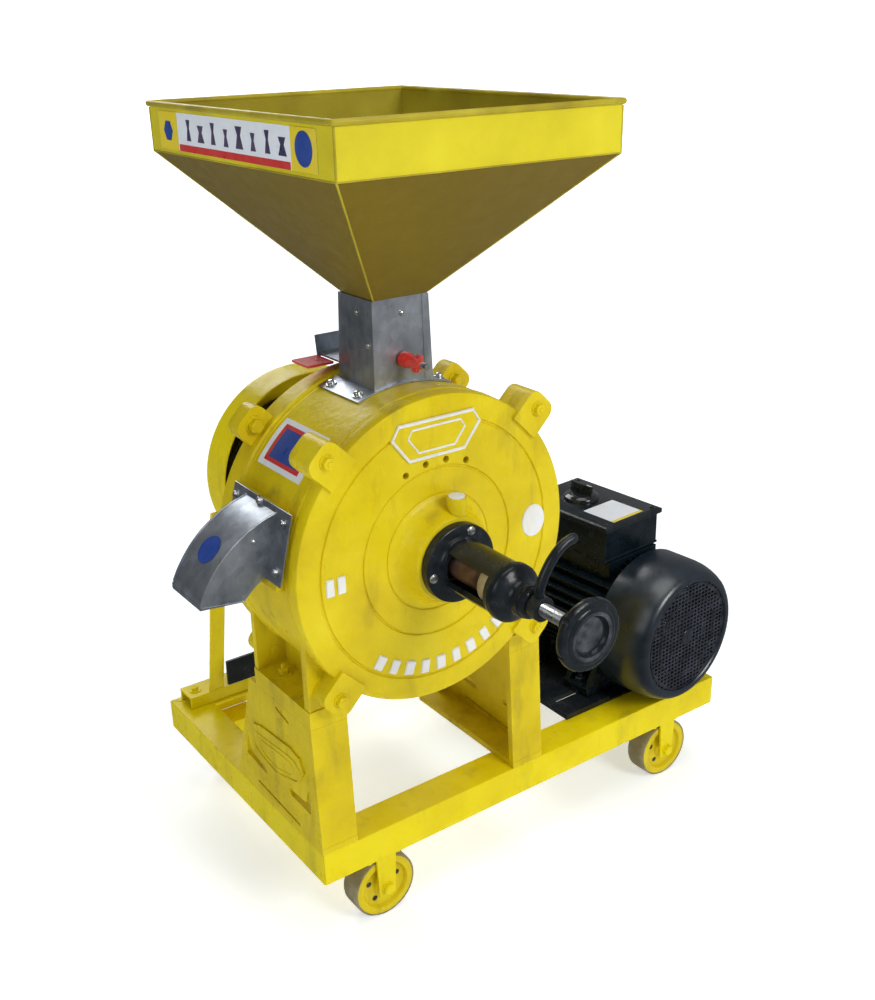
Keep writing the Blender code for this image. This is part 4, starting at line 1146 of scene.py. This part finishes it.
# ---------------------------------------------------------------- discharge spout
def build_spout():
    top = [(-201, 647), (-222, 641), (-245, 630), (-268, 614), (-287, 595), (-302, 574), (-310, 559)]
    low = [(-255, 543), (-240, 557), (-221.5, 569)]
    upper = smooth_flat(top, 5)
    lower = smooth_flat(low, 5)
    outline = upper + [(-312.5, 557), (-312.5, 549), (-253, 543)] + lower[1:]
    inner_top = [(-199.5, 645), (-221, 639), (-243.5, 628), (-266.5, 612), (-285, 593.5), (-300, 573),
                 (-310.5, 548), (-312, 535)]
    inner = [(-150, 646)] + smooth_flat(inner_top, 5)
    inner += [(-252, 530), (-254.5, 545), (-239, 559), (-220, 571.5), (-150, 580)]
    spout = solid("discharge_spout_finished", add_prism, outline, "y", 38.0, 117.0)
    flange = [(-198.4, 654), (-220.65, 565), (-222.7, 565), (-200.4, 654)]
    carve(spout, cutter(add_prism, flange, "y", 4.2, 150.0), how="UNION")
    carve(spout, cutter(add_prism, inner, "y", 40.0, 115.0))
    dress(spout, ZINC, stands_for=("discharge_spout",), slot="galvanised_sheet", edge=0.6)

    def folds(bm):
        """Seam flanges along both edges of the curved top, and the folded lip at the mouth."""
        for y in (38.4, 116.6):
            add_tube(bm, [(x - 0.2, y, z + 0.2) for x, z in upper], 1.2, 8)
        lip = [(-311.0, 37.6, 551), (-254, 37.6, 545), (-254, 117.4, 545), (-311.0, 117.4, 551)]
        add_tube(bm, lip, 1.6, 8, closed=True)

    piece("spout_folds", folds, ZINC, slot="galvanised_sheet")

    def screws(bm):
        out = Vector((-89, 0, 22.25)).normalized()
        for y, z in ((18, 640), (18, 580), (140, 640), (140, 580), (80, 650.0)):
            share = (654 - z) / 89
            x = -200.4 - 22.3 * share
            add_bolt(bm, (x, y, z), out, 9, 4, washer=13, round_head=True)
        add_bolt(bm, (-236, 38.0, 618), (0, -1, 0), 6, 2.4, round_head=True)

    piece("spout_screws", screws, STEEL)

    def sticker(bm):
        """Plain round label, bent over the curved top."""
        rows = []
        track = [Vector((x, z)) for x, z in upper]
        lengths = [0.0]
        for a, b in zip(track, track[1:]):
            lengths.append(lengths[-1] + (b - a).length)

        def spot(s):
            for k in range(1, len(track)):
                if s <= lengths[k]:
                    u = (s - lengths[k - 1]) / (lengths[k] - lengths[k - 1])
                    p = track[k - 1].lerp(track[k], u)
                    d = (track[k] - track[k - 1]).normalized()
                    return p, Vector((-d.y, d.x))
            return track[-1], Vector((-1, 0))

        middle = lengths[-1] * 0.60
        for radius in (0.01, 5, 10, 15, 17, 19):
            loop = []
            for a, b in ring(36, radius):
                p, n = spot(middle + a)
                n = n if n.y > 0 or n.x < 0 else -n
                loop.append((p.x + n.x * 0.5, 77 + b, p.y + n.y * 0.5))
            rows.append(loop)
        add_skin(bm, rows, caps=False)

    piece("spout_round_label", sticker, LABEL_BLUE)


# ---------------------------------------------------------------- belt drive and guard
def pulley_profile(outer, hub, bore, front, width, web):
    middle = front + width / 2
    deep = outer - 18 > hub + 6
    if deep:
        points = [(bore, front + 2), (hub - 1, front + 2), (hub, front + 3), (hub, middle - web / 2),
                  (outer - 21, middle - web / 2), (outer - 20, front + 1), (outer - 19, front)]
    else:
        points = [(bore, front)]
    points.append((outer - 0.6, front))
    points.append((outer, front + 0.6))
    for centre in (middle - BELT_PITCH / 2, middle + BELT_PITCH / 2):
        points += [(outer, centre - 7.5), (outer - 13, centre - 5), (outer - 13, centre + 5),
                   (outer, centre + 7.5)]
    points += [(outer, front + width - 0.6), (outer - 0.6, front + width)]
    if deep:
        points += [(outer - 20, front + width), (outer - 21, middle + web / 2), (hub, middle + web / 2),
                   (hub, front + width - 3), (hub - 1, front + width - 2), (bore, front + width - 2)]
    else:
        points.append((bore, front + width))
    return points


def build_drive():
    hole = [(18, 320), (18, 356), (0, 356), (0, 320)]
    holes = [cutter(add_lathe, hole, 32, *polar(70, 45 + 90 * k), placed=drum_at) for k in range(4)]
    big = pulley_profile(MILL_PULLEY_R, 38, 22.3, PULLEY_FRONT, PULLEY_W, 12)
    turned("mill_pulley_finished", big, 128, IRON, placed=drum_at, cut=holes, body="spindle",
           stands_for=("mill_pulley",), slot="cast_iron", edge=0.6)
    small = pulley_profile(MOTOR_PULLEY_R, 49, 14.3, -PULLEY_W / 2, PULLEY_W, 12)
    turned("motor_pulley_finished", small, 96, IRON, placed=motor_at, body="motor_rotor",
           stands_for=("motor_pulley",), slot="cast_iron")

    c, s = math.cos(MOTOR_YAW), math.sin(MOTOR_YAW)
    dx, dz = MOTOR_X, MOTOR_Z - SPINDLE_Z
    along = math.atan2(dz, dx)
    wrap = math.acos((MILL_PULLEY_R - MOTOR_PULLEY_R) / math.hypot(dx, dz))
    section = [(-0.5, -6.3), (0.0, -5.9), (0.0, 5.9), (-0.5, 6.3), (-9.0, 4.7), (-9.4, 4.3), (-9.4, -4.3),
               (-9.0, -4.7)]

    def belt(offset):
        def build(bm):
            loops = []
            for i in range(73):
                a = along + wrap + (2 * math.pi - 2 * wrap) * i / 72
                loops.append([((MILL_PULLEY_R + r) * math.cos(a), MOTOR_Y + offset + w,
                               SPINDLE_Z + (MILL_PULLEY_R + r) * math.sin(a)) for r, w in section])
            for i in range(33):
                a = along - wrap + 2 * wrap * i / 32
                loop = []
                for r, w in section:
                    u, v = (MOTOR_PULLEY_R + r) * math.cos(a), offset + w
                    loop.append((MOTOR_X + u * c - v * s, MOTOR_Y + u * s + v * c,
                                 MOTOR_Z + (MOTOR_PULLEY_R + r) * math.sin(a)))
                loops.append(loop)
            add_skin(bm, loops, closed=True)
        return build

    for tag, offset in (("front", -BELT_PITCH / 2), ("rear", BELT_PITCH / 2)):
        piece("v_belt_%s_finished" % tag, belt(offset), RUBBER, stands_for=("v_belt_" + tag,),
              slot="belt_rubber")

    cx, cz = 8.0, 573.0 - SPINDLE_Z
    pan = [(148, 312), (150, 312), (150, 368.6), (149, 370), (0, 370), (0, 368), (148, 368)]
    guard = solid("belt_guard_finished", add_lathe, pan, 128, cx, cz, placed=drum_at)
    opening = [(cx, cz)] + [(cx + x, cz + z) for x, z in (polar(175, d) for d in range(-104, 41, 8))]
    carve(guard, cutter(add_prism, opening, "y", 300.0, 366.0, placed=drum_at))
    dress(guard, RAIL, stands_for=("belt_guard",), slot="yellow_enamel", edge=0.5)

    def lip(bm):
        arc = [polar(149.2, d) for d in range(44, 253, 4)]
        add_tube(bm, [(cx + x, 312.6, cz + z) for x, z in arc], 1.3, 8)

    piece("belt_guard_lip", lip, RAIL, placed=drum_at, slot="yellow_enamel")

    def guard_bolts(bm):
        for sign in (-1, 1):
            add_bolt(bm, (sign * 116.0, 370.2, 500), (0, 1, 0), 10, 5, washer=16)

    piece("belt_guard_bolts", guard_bolts, RAIL, slot="yellow_enamel")


# ---------------------------------------------------------------- motor
def build_motor():
    refined("motor_base", BLACK, 0.8, slot="black_enamel")

    # A thin black floor closes the notch in the plate below the fan cowl: painted shade, standing in for the
    # shade under the motor seen through the notch.
    relief = (MOTOR_X - 61.6, MOTOR_X + 61.6, 49.8, 83.6, FRAME_TOP + 0.3, FRAME_TOP + 4.0)
    boxed("motor_base_notch_shade", relief, BLACK, slot="black_enamel")

    def fins(bm):
        """Ribbed stator housing: level ribs on both sides, upright ribs below and beside the box seat."""
        add_lathe(bm, [(0, -271), (84, -271), (86, -269), (86, -71), (84, -69), (0, -69)], 96)
        reach, barrel = 100.5, 83.0
        for k in range(11):
            z = -70 + 14 * k
            tip = math.sqrt(max(reach ** 2 - z ** 2, 0))
            root = math.sqrt(max(barrel ** 2 - min(abs(z), 82.0) ** 2, 0))
            for sign in (-1, 1):
                a, b = sign * (root - 3), sign * tip
                lows = [(a, -268, z - 2.6), (a, -268, z + 2.6), (b, -266, z + 1.5), (b, -266, z - 1.5)]
                highs = [(a, -72, z - 2.6), (a, -72, z + 2.6), (b, -74, z + 1.5), (b, -74, z - 1.5)]
                add_skin(bm, [lows, highs])
        for k in range(7):
            x = -39 + 13 * k
            tip = math.sqrt(reach ** 2 - x ** 2)
            root = math.sqrt(barrel ** 2 - x ** 2)
            for sign in (-1, 1):
                a, b = sign * (root - 3), sign * tip
                lows = [(x - 2.4, -268, a), (x + 2.4, -268, a), (x + 1.4, -266, b), (x - 1.4, -266, b)]
                highs = [(x - 2.4, -72, a), (x + 2.4, -72, a), (x + 1.4, -74, b), (x - 1.4, -74, b)]
                add_skin(bm, [lows, highs])
        add_box(bm, -57, 57, -247, -87, 70, 104)

    piece("motor_body_ribs", fins, MOTOR, placed=motor_at, stands_for=("motor_body",), slot="motor_black",
          edge=0.7)

    def shields(bm):
        back = [(20, -290), (95, -290), (98, -288), (99.5, -284), (99.5, -270), (97, -267), (20, -267)]
        front = [(20, -76), (97, -76), (99, -74), (99, -68), (97, -63), (92, -59), (60, -44), (56, -40),
                 (52, -38), (20, -38)]
        boss = [(8, -80), (8, -58), (6, -56), (0, -56), (0, -80)]
        add_lathe(bm, back, 96)
        add_lathe(bm, front, 96)
        for degrees in (45, 135, 225, 315):
            add_lathe(bm, boss, 24, *polar(92, degrees))

    piece("motor_end_shields", shields, MOTOR, placed=motor_at, slot="motor_black", edge=0.6)

    def feet(bm):
        low = FRAME_TOP + 10.0 - MOTOR_Z
        for sign in (-1, 1):
            for y0, y1 in ((-262, -206), (-130, -72)):
                add_box(bm, *span(sign, 62.0, 116.0), y0, y1, low, low + 14)
                for ya, yb in ((y0 + 1, y0 + 11), (y1 - 11, y1 - 1)):
                    web = [(sign * x, low + z)
                           for x, z in ((68, 12), (113, 12), (92, 50), (80, 82), (60, 70))]
                    add_skin(bm, [[(x, y, z) for x, z in web] for y in (ya, yb)])

    piece("motor_feet", feet, MOTOR, placed=motor_at, slot="motor_black", edge=1.2)

    def foot_bolts(bm):
        low = FRAME_TOP + 24.0 - MOTOR_Z
        for sign in (-1, 1):
            for y in (-234, -101):
                add_bolt(bm, (sign * 104.0, y, low), (0, 0, 1), 15, 8, washer=22, stem=5)

    piece("motor_foot_bolts", foot_bolts, MOTOR, placed=motor_at)

    front = -368.0
    cowl = [(91.5, front + 5.5), (92.2, front + 2), (94, front + 0.2), (97, front), (100, front + 0.2),
            (104, front + 2), (107.5, front + 6), (110.8, front + 13), (113.8, front + 22), (116, front + 32),
            (117, front + 44), (117, -275), (116.6, -274), (114.4, -274), (114, front + 46),
            (111, front + 28), (104, front + 10), (98, front + 6.5)]

    turned("fan_cowl_shell", cowl, 160, COWL, placed=motor_at, stands_for=("fan_cowl",), slot="motor_black")

    def grille(bm):
        """Punched mesh: rows of small oblong holes, with a plain hub in the middle."""
        pitch_x, pitch_z, bar = 8.2, 6.6, 1.3
        y0, y1, reach = front + 3.0, front + 4.6, 92.5
        columns, rows = int(reach / pitch_x) + 1, int(reach / pitch_z) + 1
        for i in range(-columns, columns + 1):
            for j in range(-rows, rows + 1):
                cx, cz = i * pitch_x, j * pitch_z
                far = math.hypot(abs(cx) + pitch_x / 2, abs(cz) + pitch_z / 2)
                near = math.hypot(cx, cz)
                if near > reach:
                    continue
                a, b = pitch_x / 2, pitch_z / 2
                outer = [(cx - a, cz - b), (cx + a, cz - b), (cx + a, cz + b), (cx - a, cz + b)]
                if far > reach - 1 or near < 13:
                    bm.faces.new([bm.verts.new((x, y0, z)) for x, z in outer])
                    bm.faces.new([bm.verts.new((x, y1, z)) for x, z in reversed(outer)])
                    continue
                c, d = a - bar, b - bar
                inner = [(cx - c, cz - d), (cx + c, cz - d), (cx + c, cz + d), (cx - c, cz + d)]
                rings = [[bm.verts.new((x, y, z)) for x, z in loop] for loop, y in
                         ((outer, y0), (inner, y0), (inner, y1), (outer, y1))]
                for low, high in zip(rings, rings[1:]):
                    for k in range(4):
                        m = (k + 1) % 4
                        bm.faces.new((low[k], low[m], high[m], high[k]))
        bmesh.ops.remove_doubles(bm, verts=bm.verts, dist=0.01)

    piece("fan_cowl_grille", grille, GRILLE, placed=motor_at, slot="motor_black", angle=40)

    def hub(bm):
        add_lathe(bm, [(0, front + 1.4), (12.4, front + 1.6), (13.4, front + 2.4), (13.4, front + 4.8),
                       (0, front + 4.8)], 48)
        for r, size in ((40, 0.9), (66, 0.9), (89, 1.2)):
            add_tube(bm, [(x, front + 2.9, z) for x, z in ring(96, r)], size, 8, closed=True)

    piece("fan_cowl_rings", hub, GRILLE, placed=motor_at, slot="motor_black")

    def hub_dot(bm):
        add_bolt(bm, (0, front + 1.6, 0), (0, -1, 0), 5, 1.4, round_head=True)
        for degrees in (38, 142, 218, 322):
            c, s = polar(1.0, degrees)
            add_bolt(bm, (115.4 * c, -284, 115.4 * s), (c, 0, s), 6, 1.4, round_head=True)

    piece("fan_cowl_screws", hub_dot, GRILLE, placed=motor_at)

    def fan(bm):
        add_lathe(bm, [(12.3, -322), (25, -322), (26, -321), (26, -303), (25, -302), (12.3, -302)], 48)
        add_lathe(bm, [(26, -304), (82, -304), (84, -303), (84, -302), (26, -302)], 72)
        for k in range(6):
            c, s = polar(1.0, 60 * k)
            blade = []
            for r, half, tip in ((22, 1.5, -322), (83, 1, -320)):
                section = [(-half, tip), (half, tip), (half, -302.4), (-half, -302.4)]
                blade.append([(r * c - w * s, y, r * s + w * c) for w, y in section])
            add_skin(bm, blade)

    piece("motor_fan_finished", fan, FAN, placed=motor_at, body="motor_rotor", stands_for=("motor_fan",),
          slot="black_plastic")

    shaft = [(0, -325), (11, -325), (12, -324), (12, -300), (17, -296), (17, -40), (14, -38), (14, 15),
             (13, 16), (0, 16)]
    turned("motor_shaft_finished", shaft, 48, STEEL, placed=motor_at, body="motor_rotor",
           stands_for=("motor_shaft",), slot="bright_steel")


def build_terminal_box():
    lid = 168.0

    def case(bm):
        add_box(bm, -63, 63, -242, -64, 104.3, lid - 9)
        add_box(bm, -64.4, 64.4, -243.4, -62.6, 104.3, 109)

    piece("terminal_box_case", case, MOTOR, placed=motor_at, stands_for=("terminal_box",),
          slot="motor_black", edge=2.2, segments=3)

    def cover(bm):
        add_box(bm, -67, 67, -248, -58, lid - 9.6, lid - 1.6)
        add_skin(bm, [[(-66, -247, lid - 2), (66, -247, lid - 2), (66, -59, lid - 2), (-66, -59, lid - 2)],
                      [(-62, -243, lid), (62, -243, lid), (62, -63, lid), (-62, -63, lid)]])

    piece("terminal_box_lid", cover, BLACK, placed=motor_at, slot="motor_black", edge=1.2, segments=3)

    def screws(bm):
        for x in (-55, 55):
            for y in (-236, -70):
                add_bolt(bm, (x, y, lid - 0.1), (0, 0, 1), 7, 1.5, round_head=True)

    piece("terminal_box_screws", screws, BLACK, placed=motor_at)

    label = (-40, 30, -238, -172, lid - 0.2, lid + 0.25)
    boxed("terminal_box_label", label, LABEL, placed=motor_at)
    stripe = (-40, 30, -238, -232, lid + 0.2, lid + 0.3)
    boxed("terminal_box_label_stripe", stripe, LABEL_YELLOW, placed=motor_at)

    def gland(bm):
        """Cable entries with blank caps on the side of the box."""
        entry = [(0, 60), (15, 60), (15, 64.4), (12.5, 65.4), (12, 67), (0, 67)]
        for y in (-190, -120):
            add_lathe(bm, entry, 36, 0, 132, axis="x", cy=y)

    piece("terminal_box_entries", gland, PLASTIC, placed=motor_at)

    def knob(bm):
        y = -130
        base = lid + 0.3
        skirt = [(30, 0), (30, 3), (28.6, 5.4), (26.4, 6.4), (24, 8.6), (21, 9.4), (0, 9.4), (0, 0)]
        add_lathe(bm, [(r, base + h) for r, h in skirt], 64, 0, axis="z", cy=y)
        loops = []
        for k in range(7):
            t = k / 6
            width = 6.2 - 2.4 * t
            length = 25.5 - 1.4 * t
            z = base + 7 + 18.6 * math.sin(t * math.pi / 2)
            loops.append([(width * a, y + length * b, z) for a, b in ring(28, 1.0)])
        add_skin(bm, loops)

    piece("switch_knob_finished", knob, PLASTIC, placed=motor_at, body="switch_knob",
          stands_for=("switch_knob",), slot="black_plastic")

    def mark(bm):
        add_box(bm, -1.2, 1.2, -152, -141, lid + 25.2, lid + 26.0)

    piece("switch_knob_mark", mark, LABEL, placed=motor_at, body="switch_knob")

    def plinth(bm):
        add_lathe(bm, [(33, lid - 0.4), (33, lid + 0.1), (0, lid + 0.1), (0, lid - 0.4)], 64, 0, axis="z",
                  cy=-130)

    piece("switch_plinth", plinth, PLASTIC, placed=motor_at)


# ---------------------------------------------------------------- casing label
def build_casing_label():
    """Plain rectangular label bent round the drum's upper left."""
    def patch(radius, d0, d1, y0, y1):
        def build(bm):
            rows = []
            for k in range(17):
                (ox, oz), (ix, iz) = [polar(r, d0 + (d1 - d0) * k / 16) for r in (radius, radius - 0.6)]
                rows.append([(ox, y0, oz), (ox, y1, oz), (ix, y1, iz), (ix, y0, iz)])
            add_skin(bm, rows)
        return build

    piece("casing_label", patch(210.5, 126.5, 145, 32, 138), LABEL, placed=drum_at)
    piece("casing_label_border", patch(210.6, 128.5, 143, 44, 128), LABEL_RED, placed=drum_at)
    piece("casing_label_panel", patch(210.7, 130, 141.5, 51, 121), LABEL_BLUE, placed=drum_at)


# ---------------------------------------------------------------- build everything
build_frame()
for row, cy in (("front", 27.0), ("rear", 469.0)):
    for end, cx in (("left", -90.0), ("right", 471.0)):
        build_castor(row + "_" + end, cx, cy)
for side, sign in (("left", -1), ("right", 1)):
    build_stand(side, sign)
build_casing()
build_rear_plate()
build_cover()
build_mill_works()
build_adjuster()
build_neck()
build_hopper()
build_spout()
build_drive()
build_motor()
build_terminal_box()
build_casing_label()


# ---------------------------------------------------------------- stage, light and camera
def pale(name, near_glow, far_glow):
    """Matt white that glows a little, from near_glow beside the mill to far_glow 5 m out."""
    mat = bpy.data.materials.new(name)
    mat.use_nodes = True
    nodes, links = mat.node_tree.nodes, mat.node_tree.links
    shader = nodes["Principled BSDF"]
    shader.inputs["Base Color"].default_value = (0.86, 0.88, 0.90, 1.0)
    shader.inputs["Roughness"].default_value = 0.95
    shader.inputs["Specular IOR Level"].default_value = 0.1
    shader.inputs["Emission Color"].default_value = (0.95, 0.98, 1.0, 1.0)
    where = nodes.new("ShaderNodeTexCoord")
    reach = nodes.new("ShaderNodeVectorMath")
    reach.operation = "LENGTH"
    links.new(where.outputs["Object"], reach.inputs[0])
    glow = spread(nodes, links, reach.outputs["Value"], near_glow, far_glow, 1.2, 5.0)
    links.new(glow, shader.inputs["Emission Strength"])
    return mat


def stage_piece(name, faces, mat):
    bm = bmesh.new()
    for corners in faces:
        bm.faces.new([bm.verts.new(corner) for corner in corners])
    obj = to_object(name, bm)
    obj.data.materials.append(mat)
    return obj


def build_stage():
    """A plain floor, a bright wall far behind it, and dim light from all round, dimmer on the left."""
    floor = stage_piece("floor", [[(7 * a, 7 * b, 0) for a, b in ring(64, 1.0)]],
                        pale("floor_pale", 0.48, 0.97))
    floor.visible_glossy = False
    turns = [(6.8 * a, 6.8 * b) for a, b in ring(64, 1.0)]
    wall = []
    for (x0, y0), (x1, y1) in zip(turns, turns[1:] + turns[:1]):
        wall.append([(x0, y0, 0), (x1, y1, 0), (x1, y1, 6), (x0, y0, 6)])
    backdrop = stage_piece("backdrop", wall, pale("backdrop_pale", 0.97, 0.97))
    backdrop.visible_glossy = False
    backdrop.visible_diffuse = False
    backdrop.visible_shadow = False

    world = bpy.data.worlds.new("studio")
    world.use_nodes = True
    nodes, links = world.node_tree.nodes, world.node_tree.links
    sky = nodes["Background"]
    sky.inputs["Color"].default_value = (0.96, 0.98, 1.0, 1.0)
    where = nodes.new("ShaderNodeTexCoord")
    east = component(nodes, links, where.outputs["Generated"], "X")
    links.new(spread(nodes, links, east, 0.03, 0.24, -1.0, 0.6), sky.inputs["Strength"])
    bpy.context.scene.world = world


def area_light(name, spot, target, size, power, colour=(1.0, 1.0, 1.0)):
    data = bpy.data.lights.new(name, "AREA")
    data.shape = "DISK"
    data.size = size
    data.energy = power
    data.color = colour
    lamp = bpy.data.objects.new(name, data)
    lamp.location = spot
    lamp.rotation_mode = "QUATERNION"
    lamp.rotation_quaternion = (Vector(target) - Vector(spot)).to_track_quat("-Z", "Y")
    bpy.context.scene.collection.objects.link(lamp)


def build_camera():
    """The camera stands 35 degrees to the left of the front and looks 22 degrees down."""
    right = Vector((0.81013, -0.58588, -0.02088))
    forward = Vector((0.53613, 0.75481, -0.37792)).normalized()
    right = (right - forward * right.dot(forward)).normalized()
    up = right.cross(forward)
    data = bpy.data.cameras.new("camera")
    data.sensor_width = 36.0
    data.lens = 42.58
    data.clip_start, data.clip_end = 0.05, 60.0
    camera = bpy.data.objects.new("camera", data)
    turn = Matrix((right, up, -forward)).transposed().to_4x4()
    camera.matrix_world = Matrix.Translation(at(-805.3, -1146.8, 1196.0)) @ turn
    bpy.context.scene.collection.objects.link(camera)
    bpy.context.scene.camera = camera


build_stage()
area_light("key", (0.6, -3.2, 2.4), (0.0, 0.0, 0.5), 1.5, 64.0, (1.0, 0.99, 0.96))
area_light("fill", (-3.1, -0.9, 2.3), (0.0, 0.0, 0.5), 2.3, 26.0, (0.94, 0.98, 1.0))
area_light("rim", (0.6, 3.0, 2.8), (0.0, 0.0, 0.6), 2.0, 44.0)
area_light("top", (0.0, -0.3, 3.4), (0.0, 0.0, 0.6), 2.4, 34.0)
build_camera()
bpy.context.scene.view_settings.view_transform = "Standard"
